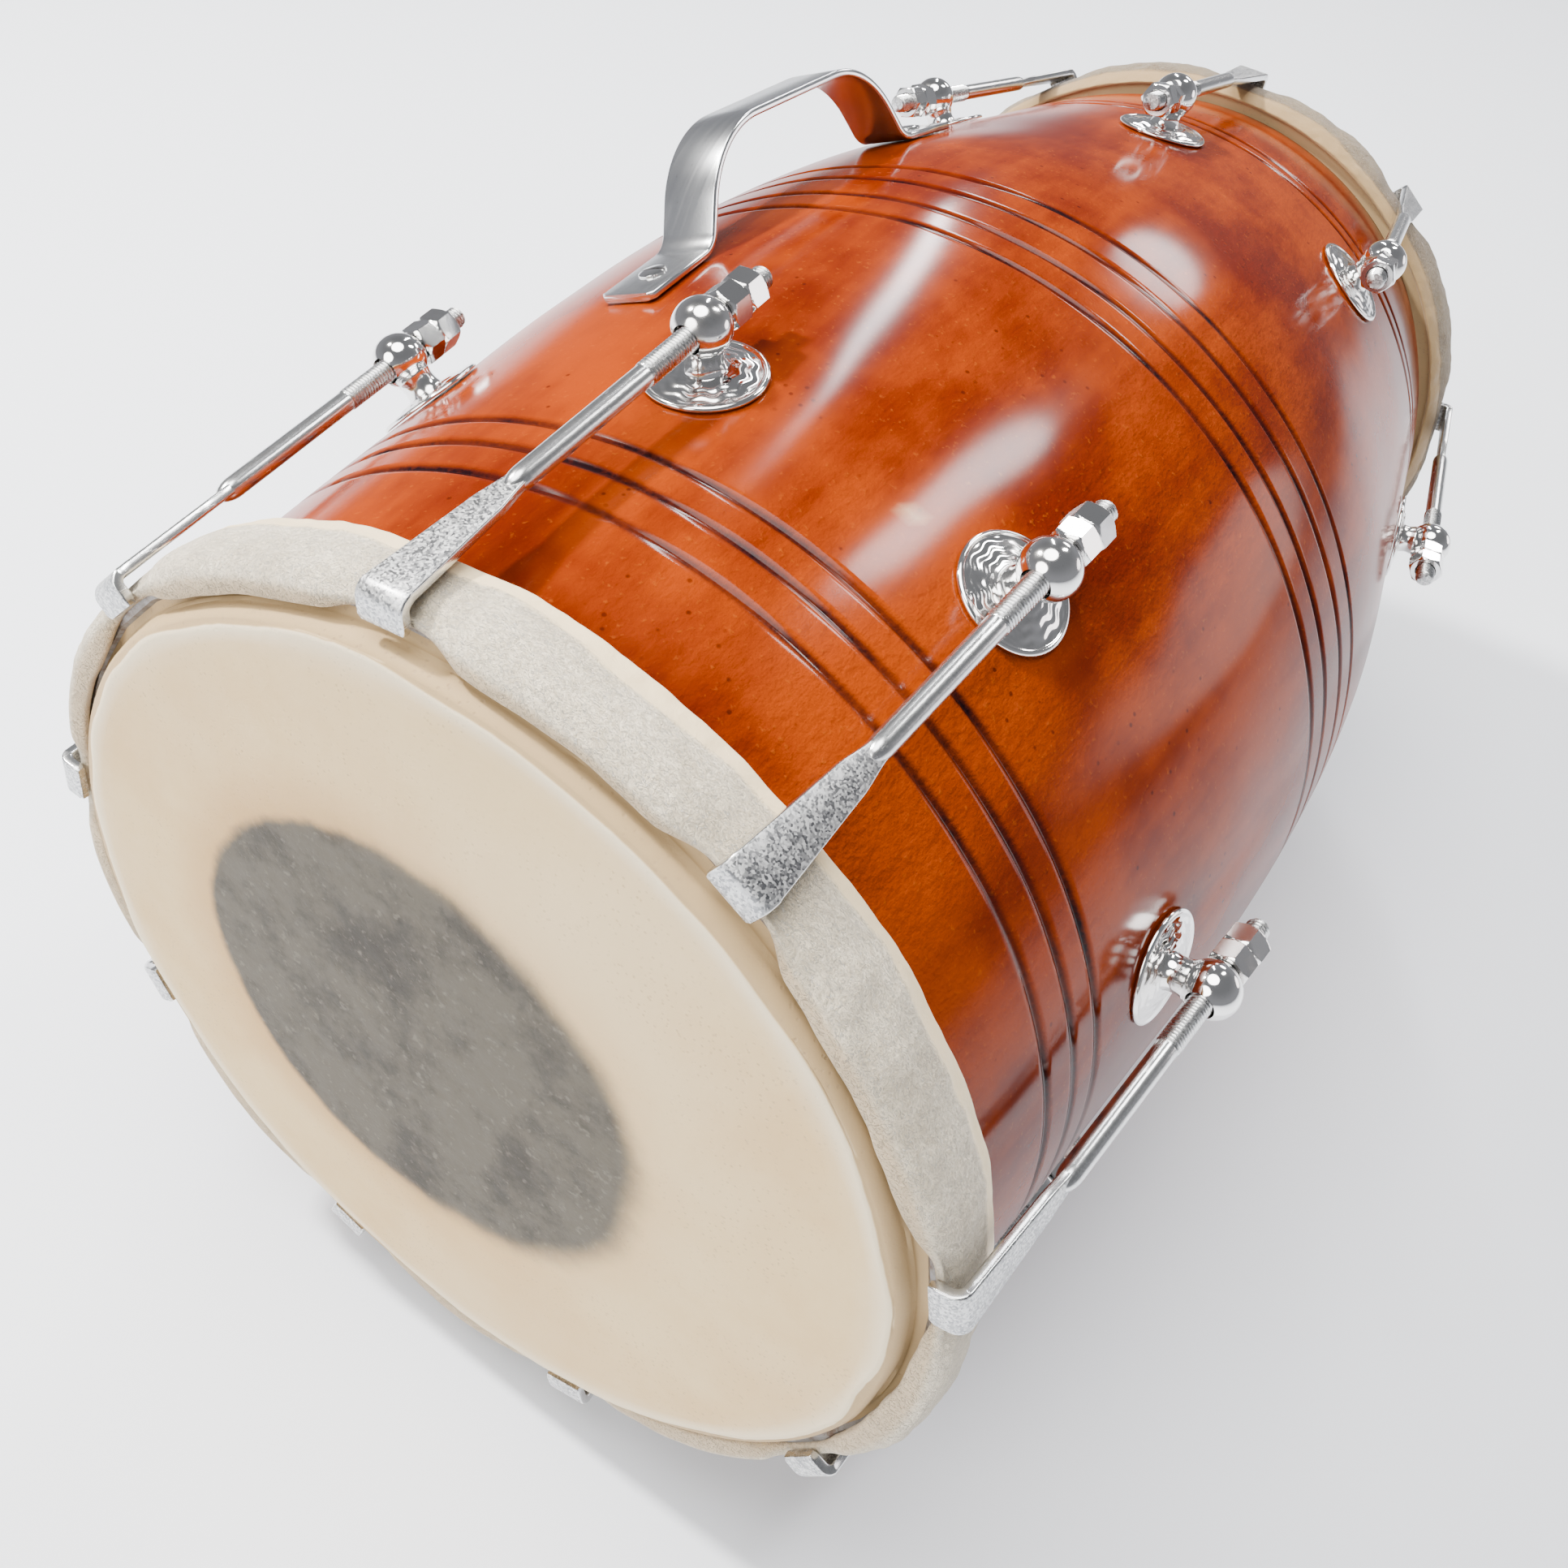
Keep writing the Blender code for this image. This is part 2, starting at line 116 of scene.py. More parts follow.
def addObject(name, data):
    made = bpy.data.objects.new(name, data)
    bpy.context.scene.collection.objects.link(made)
    return made


# Makes one object from closed grids. Channels after x, y, z become attributes of those names.
def makePiece(name, grids, material, body="root", replaced=(), attributes=(), sharp=35):
    flats, faces, start = [], [], 0
    for flat, quads, triangles in grids:
        flats.append(flat)
        faces += (quads + start).tolist() + (triangles + start).tolist()
        start += len(flat)
    points = np.vstack(flats)
    mesh = bpy.data.meshes.new(name)
    mesh.from_pydata(points[:, :3], [], faces)
    mesh.shade_smooth()
    mesh.set_sharp_from_angle(angle=math.radians(sharp))
    for channel, attribute in enumerate(attributes, 3):
        layer = mesh.attributes.new(attribute, "FLOAT", "POINT")
        layer.data.foreach_set("value", points[:, channel].astype(np.float32))
    mesh.materials.append(material)
    piece = addObject(name, mesh)
    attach(piece, body)
    if replaced:
        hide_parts(*replaced)
    return piece


# Carries points given along three directions to their place.
def placed(local, centre, across, aside, ahead):
    moved = centre + local[..., 0:1] * across + local[..., 1:2] * aside + local[..., 2:3] * ahead
    return np.dstack([moved, local[..., 3:]])


def fullTurn(columns):
    return np.linspace(0, 2 * math.pi, columns, endpoint=False)[None, :]


# Points at a radius and a height about local Z, at each turn.
def roundZ(radius, height, turn):
    return np.stack([radius * np.cos(turn), radius * np.sin(turn), height + 0 * turn], -1)


# A turned solid about local Z: a radius and a height for each row.
def turnedGrid(radius, height, columns):
    return roundZ(np.array(radius)[:, None], np.array(height)[:, None], fullTurn(columns))


class Field:
    # Wraps a shader socket, so that sums and products of fields add their own Math nodes.
    def __init__(self, tree, socket=None):
        self.tree = tree
        self.socket = socket

    # Adds any node: its settings first, then the values or links of its sockets.
    def node(self, kind, settings=None, sockets=None, output=0):
        made = self.tree.nodes.new(kind)
        for name, setting in (settings or {}).items():
            setattr(made, name, setting)
        for name, given in (sockets or {}).items():
            if isinstance(given, Field):
                self.tree.links.new(given.socket, made.inputs[name])
            else:
                made.inputs[name].default_value = given
        return Field(self.tree, made.outputs[output])

    def maths(self, operation, *values):
        return self.node("ShaderNodeMath", {"operation": operation}, dict(enumerate(values)))

    def __add__(self, other):
        return self.maths("ADD", self, other)

    def __radd__(self, other):
        return self.maths("ADD", other, self)

    def __sub__(self, other):
        return self.maths("SUBTRACT", self, other)

    def __rsub__(self, other):
        return self.maths("SUBTRACT", other, self)

    def __mul__(self, other):
        return self.maths("MULTIPLY", self, other)

    def __rmul__(self, other):
        return self.maths("MULTIPLY", other, self)


# A new material, its Principled shader and its Object coordinates. Plain values go to the shader's sockets.
def newMaterial(name, **plain):
    material = bpy.data.materials.new(name)
    material.use_nodes = True
    shader = material.node_tree.nodes["Principled BSDF"]
    for socket, value in plain.items():
        shader.inputs[socket.replace("_", " ")].default_value = value
    return material, shader, Field(material.node_tree).node("ShaderNodeTexCoord", output="Object")


def feed(shader, **fields):
    for socket, field in fields.items():
        field.tree.links.new(field.socket, shader.inputs[socket.replace("_", " ")])


def scaled(place, factors):
    return place.node("ShaderNodeVectorMath", {"operation": "MULTIPLY"}, {0: place, 1: factors})


def noise(place, scale, detail=3.0, rough=0.55, distortion=0.0):
    return place.node("ShaderNodeTexNoise", {}, {"Vector": place, "Scale": scale, "Detail": detail,
                                                 "Roughness": rough, "Distortion": distortion})


# Distance to the nearest of a cloud of points, or that point's own random colour.
def cells(place, scale, output="Distance", randomness=1.0):
    return place.node("ShaderNodeTexVoronoi", {}, {"Vector": place, "Scale": scale,
                                                   "Randomness": randomness}, output)


def between(field, low, high):
    return field.node("ShaderNodeMapRange", {"interpolation_type": "SMOOTHSTEP"},
                      {"Value": field, "From Min": low, "From Max": high})


# Goes from the first colour to the second as the factor goes from 0 to 1.
def mixed(factor, first, second):
    return factor.node("ShaderNodeMix", {"data_type": "RGBA"},
                       {0: factor, 6: colour(first), 7: colour(second)}, 2)


def colour(given):
    return given if isinstance(given, Field) else (*given, 1.0)


def attribute(place, name):
    return place.node("ShaderNodeAttribute", {"attribute_name": name}, output="Fac")


def bump(height, strength, distance):
    return height.node("ShaderNodeBump", {}, {"Strength": strength, "Distance": distance, "Height": height})


lacquer = {
    "bright": (0.240, 0.031, 0.0005), "deep": (0.095, 0.007, 0.0005), "stain": (0.034, 0.003, 0.0005),
    "groove": (0.009, 0.002, 0.003), "fleck": (0.38, 0.080, 0.004), "filler": (0.48, 0.28, 0.15),
    "roughness": 0.45, "coatRoughness": 0.14, "coatIor": 1.32, "coatWeight": 0.50,
}


# Brushed stain under lacquer: clouds, streaks along the barrel, flecks and a light orange peel.
def lacqueredWood():
    material, shader, place = newMaterial("lacqueredWood", Coat_Roughness=lacquer["coatRoughness"],
                                          Coat_IOR=lacquer["coatIor"], Specular_IOR_Level=0.0)
    clouds = noise(place, 13.0, 4.0, 0.6)
    streaks = noise(scaled(place, (90.0, 14.0, 90.0)), 1.0, 3.0, 0.6)
    turning = noise(scaled(place, (12.0, 420.0, 12.0)), 1.0, 2.0)
    fine = noise(place, 650.0, 2.0, 0.6)
    peel = noise(place, 240.0, 2.0, 0.5)
    specks = between(cells(place, 210.0), 0.16, 0.07)
    base = mixed(between(clouds * 0.75 + streaks * 0.25, 0.38, 0.62), lacquer["bright"], lacquer["deep"])
    base = mixed(between(noise(place, 5.0, 2.0), 0.52, 0.80) * 0.7, base, lacquer["stain"])
    base = mixed(between(fine, 0.60, 0.78) * 0.30, base, lacquer["fleck"])
    base = mixed(specks * between(noise(place, 40.0), 0.5, 0.62) * 0.7, base, lacquer["stain"])
    base = mixed(attribute(place, "filler"), base, lacquer["filler"])
    base = mixed(attribute(place, "groove") * (0.65 + fine * 0.6), base, lacquer["groove"])
    brushed = noise(scaled(place, (900.0, 160.0, 900.0)), 1.0, 3.0, 0.6)
    relief = peel * 0.8 + fine * 0.60 + brushed * 0.34 + turning * 0.10 + noise(place, 60.0, 2.0) * 0.9
    roughness = lacquer["roughness"] + (clouds - 0.5) * 0.18
    feed(shader, Base_Color=base, Roughness=roughness, Coat_Weight=lacquer["coatWeight"] + clouds * 0.2,
         Normal=bump(relief, 0.8, 0.0007))
    return material


skin = {
    "cream": (0.690, 0.495, 0.245), "warm": (0.630, 0.420, 0.190), "pale": (0.750, 0.585, 0.345),
    # The rim colour is a painted highlight where the skin bends over the bearing edge.
    "rim": (0.800, 0.680, 0.480), "under": (0.450, 0.310, 0.155), "pore": (0.420, 0.290, 0.160),
    # The under colours are painted shade on the lower layer and the wall beyond the rim, with their pores.
    "shadedPore": (0.36, 0.25, 0.14), "pasteCrumb": (0.17, 0.15, 0.115),
    "paste": (0.090, 0.077, 0.056), "pasteDark": (0.036, 0.030, 0.022), "pasteHalo": (0.480, 0.265, 0.095),
    "pasteCentre": (-0.010, -0.002),  # of the patch, from the drum's axis: across and up
    "pasteRadius": 0.0645,
}


# Grain side of a head. The dark patch is where the distance from its centre, roughened, is under its
# radius: its edge is hard on the left and soft on the right, and a warm halo lies round it.
def headSkin(name, withPaste):
    material, shader, place = newMaterial(name, Specular_IOR_Level=0.25)
    clouds = noise(place, 16.0, 4.0, 0.6)
    tint = mixed(between(clouds, 0.38, 0.66), skin["cream"], skin["warm"])
    tint = mixed(between(noise(place, 7.0, 3.0), 0.45, 0.75) * 0.8, tint, skin["pale"])
    pores = between(cells(place, 620.0), 0.30, 0.12) * between(noise(place, 30.0), 0.40, 0.62)
    tint = mixed(pores * 0.5, tint, skin["pore"])
    fine = noise(place, 900.0, 3.0, 0.6)
    grain = noise(place, 210.0, 4.0, 0.65, 0.6)
    if withPaste:
        across, upwards = skin["pasteCentre"]
        centre = drumPoint(0.0, 0.0, 0.0) + rightOfDrum * across + upFromDrum * upwards
        offset = place.node("ShaderNodeVectorMath", {"operation": "SUBTRACT"}, {0: place, 1: tuple(centre)})
        flatOffset = scaled(offset, (1.0, 0.0, 1.0))
        distance = place.node("ShaderNodeVectorMath", {"operation": "LENGTH"}, {0: flatOffset}, 1)
        distance = distance + (noise(place, 26.0, 5.0, 0.65) - 0.5) * 0.009
        sideways = flatOffset.node("ShaderNodeSeparateXYZ", {}, {0: flatOffset})
        softness = between(sideways, -0.05, 0.05)
        radius = skin["pasteRadius"]
        soft = between(distance, radius + 0.007, radius - 0.004)
        hard = between(distance, radius + 0.0025, radius - 0.0015)
        patch = mixed(softness, hard, soft)
        halo = between(distance, radius + 0.020, radius - 0.002)
        tint = mixed(halo * (0.30 + (1 - softness) * 0.40), tint, skin["pasteHalo"])
        blotches = between(noise(place, 34.0, 6.0, 0.72), 0.42, 0.66)
        dark = mixed(blotches, skin["paste"], skin["pasteDark"])
        dark = mixed(between(noise(place, 420.0, 2.0), 0.58, 0.75) * 0.5, dark, skin["pasteCrumb"])
        tint = mixed(patch, tint, dark)
    # Painted highlight: the pale rim colour on the top layer where it bends over the bearing edge.
    tint = mixed(attribute(place, "rim") * 0.85, tint, skin["rim"])
    # Painted shade: the lower layer and the wall beyond the rim take the darker tan, with darker pores.
    under = attribute(place, "under")
    tint = mixed(under, tint, mixed(pores * 0.6, skin["under"], skin["shadedPore"]))
    relief = fine * 0.35 + grain * 0.9 + pores * -0.5
    feed(shader, Base_Color=tint, Roughness=0.52 + grain * 0.3, Normal=bump(relief, 0.45, 0.00035))
    return material


# In both tone sets below, the fold colour is painted shade on the collar's front fold.
bassCollar = {
    "felt": (0.800, 0.700, 0.530), "matt": (0.560, 0.470, 0.330), "fibre": (0.940, 0.890, 0.770),
    # The darkest tone is grime in patches, and painted shade beside the hooks.
    "grimeAndShade": (0.400, 0.320, 0.210), "band": (0.800, 0.630, 0.370), "fold": (0.540, 0.390, 0.215),
}
trebleCollar = {
    "felt": (0.240, 0.170, 0.090), "matt": (0.160, 0.108, 0.052), "fibre": (0.400, 0.320, 0.200),
    "grimeAndShade": (0.085, 0.052, 0.025), "band": (0.330, 0.215, 0.095), "fold": (0.300, 0.200, 0.095),
}


# Flesh side of the skin: matted fibres, with a smooth band along the raw edge and painted shade on the front fold.
def fleshSkin(name, tones):
    material, shader, place = newMaterial(name, Sheen_Weight=0.35, Sheen_Roughness=0.5,
                                          Specular_IOR_Level=0.25)
    band = attribute(place, "band")
    fold = attribute(place, "fold")
    felt = noise(place, 420.0, 5.0, 0.7, 2.2)
    hairs = noise(scaled(place, (1.0, 2.6, 1.0)), 620.0, 4.0, 0.6, 3.0)
    hairs = between(hairs, 0.54, 0.66) * (1 - band)
    tint = mixed(between(felt, 0.35, 0.70), tones["felt"], tones["matt"])
    grubby = between(noise(place, 55.0, 4.0, 0.6), 0.46, 0.68)
    # Grubby patches are real grime; the pinch term adds the same dark tone as painted shade beside the hooks,
    # where the straps press the collar.
    tint = mixed(grubby * 0.45 + attribute(place, "pinch") * 0.40, tint, tones["grimeAndShade"])
    tint = mixed(hairs * 0.75, tint, tones["fibre"])
    tint = mixed(band, tint, tones["band"])
    # Painted shade: the front fold, turned in towards the membrane, takes the darker fold colour.
    tint = mixed(fold * 0.85, tint, tones["fold"])
    relief = felt * (1 - band * 0.8) + hairs * 0.9 + noise(place, 120.0, 3.0) * 0.8
    feed(shader, Base_Color=tint, Roughness=0.86 - band * 0.25, Normal=bump(relief, 0.9, 0.0008))
    return material


platedSteel = {"bright": (0.700, 0.700, 0.695), "grey": (0.235, 0.240, 0.250), "dull": (0.150, 0.140, 0.130)}


# Zinc-plated steel: flat faces show small crystals, and the edges named by `polish` are bright.
def spangledSteel():
    material, shader, place = newMaterial("spangledSteel", Metallic=1.0)
    polish = attribute(place, "polish")
    grains = cells(place, 2100.0, "Color")
    crystal = grains.node("ShaderNodeSeparateColor", {}, {0: grains})
    smear = noise(scaled(place, (1.0, 0.25, 1.0)), 160.0, 4.0, 0.65)
    scratches = between(noise(scaled(place, (1.0, 0.06, 1.0)), 900.0, 3.0, 0.7), 0.60, 0.72)
    flatness = 1 - polish
    shade = crystal * 0.55 + smear * 0.45
    tint = mixed(between(shade, 0.20, 0.80), platedSteel["grey"], platedSteel["bright"])
    tint = mixed(polish * 0.85, tint, platedSteel["bright"])
    tint = mixed(between(noise(place, 90.0, 4.0, 0.7), 0.62, 0.80) * 0.5, tint, platedSteel["dull"])
    roughness = 0.22 + flatness * (0.08 + crystal * 0.22) + scratches * 0.10
    relief = crystal * flatness * 0.8 + smear * 0.5 + scratches * 0.3
    feed(shader, Base_Color=tint, Roughness=roughness, Normal=bump(relief, 0.34, 0.00012))
    return material


chrome = {"clean": (0.860, 0.850, 0.840), "smudged": (0.690, 0.670, 0.645), "pit": (0.25, 0.22, 0.20)}


def polishedChrome():
    material, shader, place = newMaterial("polishedChrome", Metallic=1.0)
    smudge = noise(place, 70.0, 4.0, 0.65)
    pits = between(cells(place, 900.0), 0.10, 0.03)
    tint = mixed(between(smudge, 0.45, 0.75), chrome["clean"], chrome["smudged"])
    tint = mixed(pits * 0.5, tint, chrome["pit"])
    relief = noise(place, 130.0, 2.0) * 0.8 + noise(place, 700.0, 2.0) * 0.15
    feed(shader, Base_Color=tint, Roughness=0.08 + between(smudge, 0.45, 0.8) * 0.14,
         Normal=bump(relief, 0.10, 0.0002))
    return material


# grey and bright are the two ends of the painted reflection bands on the handle strap.
brushedSteel = {"grey": (0.560, 0.570, 0.590), "bright": (0.780, 0.785, 0.790), "edge": (0.86, 0.86, 0.87)}


# Bent strap: plating with lengthwise polishing lines, and painted reflection bands that go from grey to bright.
def handleSteel():
    material, shader, place = newMaterial("handleSteel", Metallic=1.0)
    polish = attribute(place, "polish")
    waves = noise(place, 34.0, 3.0, 0.5)
    lines = noise(scaled(place, (900.0, 30.0, 30.0)), 1.0, 3.0, 0.6)
    speck = between(cells(place, 500.0), 0.14, 0.05)
    # Painted reflection: soft waves take the plating from grey to bright, as bands of reflected light.
    reflectionBands = between(waves * 0.85 + lines * 0.15, 0.34, 0.66)
    tint = mixed(reflectionBands, brushedSteel["grey"], brushedSteel["bright"])
    tint = mixed(polish * 0.8, tint, brushedSteel["edge"])
    tint = mixed(speck * 0.4, tint, platedSteel["dull"])
    roughness = 0.20 + lines * 0.10 - polish * 0.12
    feed(shader, Base_Color=tint, Roughness=roughness, Normal=bump(waves * 1.2 + lines * 0.08, 0.16, 0.0004))
    return material


rustedSteel = {"grey": (0.30, 0.29, 0.28), "rust": (0.16, 0.11, 0.08)}


def hoopSteel():
    material, shader, place = newMaterial("hoopSteel", Metallic=1.0)
    scale = noise(place, 240.0, 5.0, 0.7)
    tint = mixed(between(scale, 0.4, 0.7), rustedSteel["grey"], rustedSteel["rust"])
    feed(shader, Base_Color=tint, Roughness=0.45 + scale * 0.3, Normal=bump(scale, 0.3, 0.0003))
    return material


woodMaterial = lacqueredWood()
bassMaterial = headSkin("bassHeadSkin", True)
trebleMaterial = headSkin("trebleHeadSkin", False)
collarMaterials = {"bass": fleshSkin("bassFlesh", bassCollar),
                   "treble": fleshSkin("trebleFlesh", trebleCollar)}
hookMaterial = spangledSteel()
chromeMaterial = polishedChrome()
handleMaterial = handleSteel()
hoopMaterial = hoopSteel()
print("materials made")


barrel = {
    "outline": [(0.0, 0.1190), (0.020, 0.1218), (0.050, 0.1265), (0.103, 0.1329), (0.155, 0.1390),
                (0.213, 0.1423), (0.265, 0.1408), (0.320, 0.1336), (0.370, 0.1265), (0.420, 0.1190),
                (0.441, 0.1140), (0.461, 0.1085)],
    "wall": 0.012, "edgeRound": 0.003, "endGap": 0.0003,
    "grooves": (0.0530, 0.0640, 0.0740, 0.1960, 0.2075, 0.2220, 0.2345, 0.3820, 0.3905),
    "grooveDepth": 0.0010, "grooveHalfWidth": 0.0017,
    "filler": (0.0995, math.radians(18.6), 0.0030),  # along, turn and radius of the filled spot
    "columns": 300,
}


# Radius of the barrel: a cubic through the outline's points, with each slope taken from its neighbours.
def barrelRadius(along):
    places, radii = np.array(barrel["outline"]).T
    slopes = np.empty_like(radii)
    slopes[1:-1] = (radii[2:] - radii[:-2]) / (places[2:] - places[:-2])
    slopes[0] = (radii[1] - radii[0]) / (places[1] - places[0])
    slopes[-1] = (radii[-1] - radii[-2]) / (places[-1] - places[-2])
    along = np.clip(along, 0.0, places[-1])
    i = np.clip(np.searchsorted(places, along) - 1, 0, len(places) - 2)
    step = places[i + 1] - places[i]
    t = (along - places[i]) / step
    return (radii[i] * (2 * t**3 - 3 * t**2 + 1) + slopes[i] * step * (t**3 - 2 * t**2 + t)
            + radii[i + 1] * (3 * t**2 - 2 * t**3) + slopes[i + 1] * step * (t**3 - t**2))


def barrelSlope(along):
    return (barrelRadius(along + 0.01) - barrelRadius(along - 0.01)) / 0.02


# The barrel is its profile turned about the axis. The profile runs along the outside, with V-shaped
# grooves cut in, round the rim and back along the inner wall.
def makeShell():
    low, high = -barrel["endGap"], drumSpan + barrel["endGap"]
    edge, halfWidth = barrel["edgeRound"], barrel["grooveHalfWidth"]
    curve = np.linspace(0, math.pi / 2, 6)[:-1]
    setBack, rounding = edge * (1 - np.cos(curve)), edge * (1 - np.sin(curve))
    rows = [np.linspace(low + edge, high - edge, 118)]
    cuts = np.array([0.15, 0.45, 0.8, 1.15, 1.5]) * halfWidth
    for groove in barrel["grooves"]:
        rows += [groove - cuts, groove + cuts]
    rows = np.unique(np.round(np.concatenate(rows), 5))
    turn = fullTurn(barrel["columns"])
    along = np.concatenate([low + setBack, rows, (high - setBack)[::-1]])[:, None] + 0 * turn
    drop = np.concatenate([rounding, 0 * rows, rounding[::-1]])
    radius = barrelRadius(along) - drop[:, None]
    place = drumPoint(radius, turn, along)
    depth = np.zeros_like(radius)
    for groove in barrel["grooves"]:
        away = np.abs(along - groove) / halfWidth
        depth = np.maximum(depth, np.clip(1 - away, 0, 1))
    wander = 0.75 + 0.25 * ripple(place, 0.05, 5)
    radius = radius - barrel["grooveDepth"] * depth * wander + 0.00007 * ripple(place, 0.045, 1)
    fillAlong, fillTurn, fillRadius = barrel["filler"]
    spot = drumPoint(barrelRadius(fillAlong), fillTurn, fillAlong)
    fromSpot = np.linalg.norm(place - spot, axis=-1) / fillRadius + 0.25 * ripple(place, 0.005, 8)
    filler = 0.6 * smoothStep(1.0, 0.7, fromSpot)
    stain = np.clip(depth * 1.6, 0, 1) * (0.85 + 0.15 * ripple(place, 0.02, 6))
    outside = np.dstack([drumPoint(radius, turn, along), stain, filler])
    innerAlong = np.linspace(high, low, 12)[:, None] + 0 * turn
    inner = drumPoint(barrelRadius(innerAlong) - barrel["wall"], turn, innerAlong)
    inside = np.dstack([inner, np.zeros((*inner.shape[:2], 2))])
    makePiece("barrelShell", [closedGrid(np.concatenate([outside, inside]), ring=True)], woodMaterial,
              replaced=["shell"], attributes=("groove", "filler"), sharp=60)


makeShell()
print("barrel made")


# A station's way is its place and its directions: outwards across the rod, sideways round the drum and
# ahead along the rod. Its flat way stands on the barrel's surface.
def stationFrames(head):
    stations = []
    for number in range(1, 10):
        joint = joints[f"{head}_nut_{number}_turn"]
        centre = np.array(joint["pos_m"], float)
        ahead = unit(np.array(joint["axis"], float))
        offset = centre - drumStart
        along = offset @ alongDrum
        outwards = unit(offset - along * alongDrum)
        across = unit(outwards - (outwards @ ahead) * ahead)
        aside = np.cross(ahead, across)
        tilt = math.atan(barrelSlope(along))
        normal = outwards * math.cos(tilt) - alongDrum * math.sin(tilt)
        ballRadius = np.linalg.norm(offset - along * alongDrum)
        stations.append({
            "number": number, "way": (centre, across, aside, ahead),
            "flatWay": (centre, np.cross(aside, normal), aside, normal),
            "turn": math.atan2(outwards @ rightOfDrum, outwards @ upFromDrum),
            "rise": math.asin(ahead @ outwards), "ball": ballRadius,
            "reach": along if head == "bass" else drumSpan - along,
            "height": (ballRadius - barrelRadius(along)) * math.cos(tilt)})
    return stations


heads = {head: stationFrames(head) for head in ("bass", "treble")}


membrane = {
    "thick": 0.0012, "gap": 0.0003, "edgeReach": 0.0045, "edgeDrop": 0.0046,
    "layerStep": 0.0003, "layerInset": 0.0026, "fold": 0.0058, "flange": 0.0064, "columns": 288,
    "hub": 0.004,  # radius of the innermost row
    "wallDepths": (0.0036, 0.0038, 0.0040, 0.0082, 0.0158),
}


# From a depth behind a head to a place along the drum.
def headAlong(head, depth):
    return depth if head == "bass" else drumSpan - depth


# A head is turned about the axis: a nearly flat disc, a thin torn layer that ends just inside the rim, a
# quarter turn over the bearing edge, a fold out towards the collar, the wall down the barrel and a flange
# behind the hoop.
def makeMembrane(head, material):
    turn, thick = fullTurn(membrane["columns"]), membrane["thick"]
    rim = barrelRadius(headAlong(head, 0.0)) + membrane["gap"] + thick
    around = drumPoint(rim, turn, 0.0)
    ragged = 0.0005 * ripple(around, 0.035, 21) + 0.00006 * ripple(around, 0.0035, 22)
    torn = rim - membrane["layerInset"] + 1.3 * ragged
    disc = np.linspace(membrane["hub"], rim - 0.0075, 30)[:, None]
    curve = np.linspace(0, math.pi / 2, 9)[1:, None]
    top, low, under = (step - headProud for step in (0.0, membrane["layerStep"], thick))
    inner = rim - membrane["edgeReach"] * 0.55
    radii = [disc + 0 * turn, torn - 0.0014, torn - 0.00025, torn + 0.00005,
             inner + (rim + 0.5 * ragged - inner) * np.sin(curve)]
    depths = [top + 0 * disc + 0 * turn, top + 0 * turn, top + 0 * turn, low + 0 * turn,
              low + membrane["edgeDrop"] * (1 - np.cos(curve)) + 0 * turn]
    wall = np.array(membrane["wallDepths"])[:, None]
    wallRadius = barrelRadius(headAlong(head, wall)) + membrane["gap"]
    outside = wallRadius + thick
    spread = np.array([0.02, 0.10, 0.35, 0.70, 1.0])[:, None] * membrane["fold"] + outside[2]
    drop = wall[2] + np.array([0.0003, 0.0007, 0.0011, 0.0013, 0.0014])[:, None]
    back = wall[-1:] + thick
    flange = outside[-1:] + membrane["flange"]
    inside = np.array([[rim - thick - 0.0032], [membrane["hub"]]])
    for radius, depth in ((outside[:3], wall[:3]), (spread, drop), (spread[-1:], drop[-1:] + thick),
                          (outside[3:], wall[3:]), (flange, wall[-1:]), (flange, back),
                          (wallRadius[-1:], back), (wallRadius[::-1], wall[::-1]), (inside, under)):
        radii.append(radius + 0 * turn)
        depths.append(depth + 0 * radius + 0 * turn)
    radius, depth = np.concatenate(radii), np.concatenate(depths)
    place = drumPoint(radius, turn, headAlong(head, depth))
    isDisc = (depth < -headProud + 0.0005) & (radius < rim - 0.001)
    sag = 0.00010 * ripple(place, 0.055, 23) * smoothStep(rim, rim - 0.01, radius)
    depth = depth + np.where(isDisc, sag, 0)
    # Painted highlight: a pale band on the top layer, just inside its torn edge, over the bearing edge.
    rimHighlight = smoothStep(rim - 0.0085, rim - 0.0045, radius + 0.4 * ragged)
    rimHighlight = rimHighlight * (radius < torn) * (depth < 0.0)
    # Painted shade mask: the lower layer beyond the torn edge and all of the skin behind the head.
    underShadeMask = ((radius > torn) | (depth > 0.002)) * 1.0
    grid = np.dstack([drumPoint(radius, turn, headAlong(head, depth)), rimHighlight, underShadeMask])
    return makePiece(f"{head}Membrane", [closedGrid(grid)], material,
                     replaced=[f"{head}_skin"], attributes=("rim", "under"), sharp=50)


collar = {
    "thick": 0.0014, "strapGap": 0.0005, "bulge": 0.0012, "edgeDepth": 0.0205, "edgeWave": 0.0004,
    "tuck": {"bass": 0.0003, "treble": 0.0030},  # how far the raw edge turns in
    "hookHalfWidth": 0.0064, "easing": 0.013, "lipReach": 0.0080, "columns": 640, "rowsPerSpan": 5,
}


# A closed smooth curve through rows of control points, each worked out for every column at once.
def closedSpline(controls, perSpan):
    before, here, after, beyond = (np.roll(controls, -k, axis=0)[:, None] for k in (-1, 0, 1, 2))
    t = (np.arange(perSpan) / perSpan)[:, None, None]
    rows = 0.5 * (2 * here + (after - before) * t + (2 * before - 5 * here + 4 * after - beyond) * t**2
                  + (3 * here - before - 3 * after + beyond) * t**3)
    return rows.reshape(-1, *controls.shape[1:])


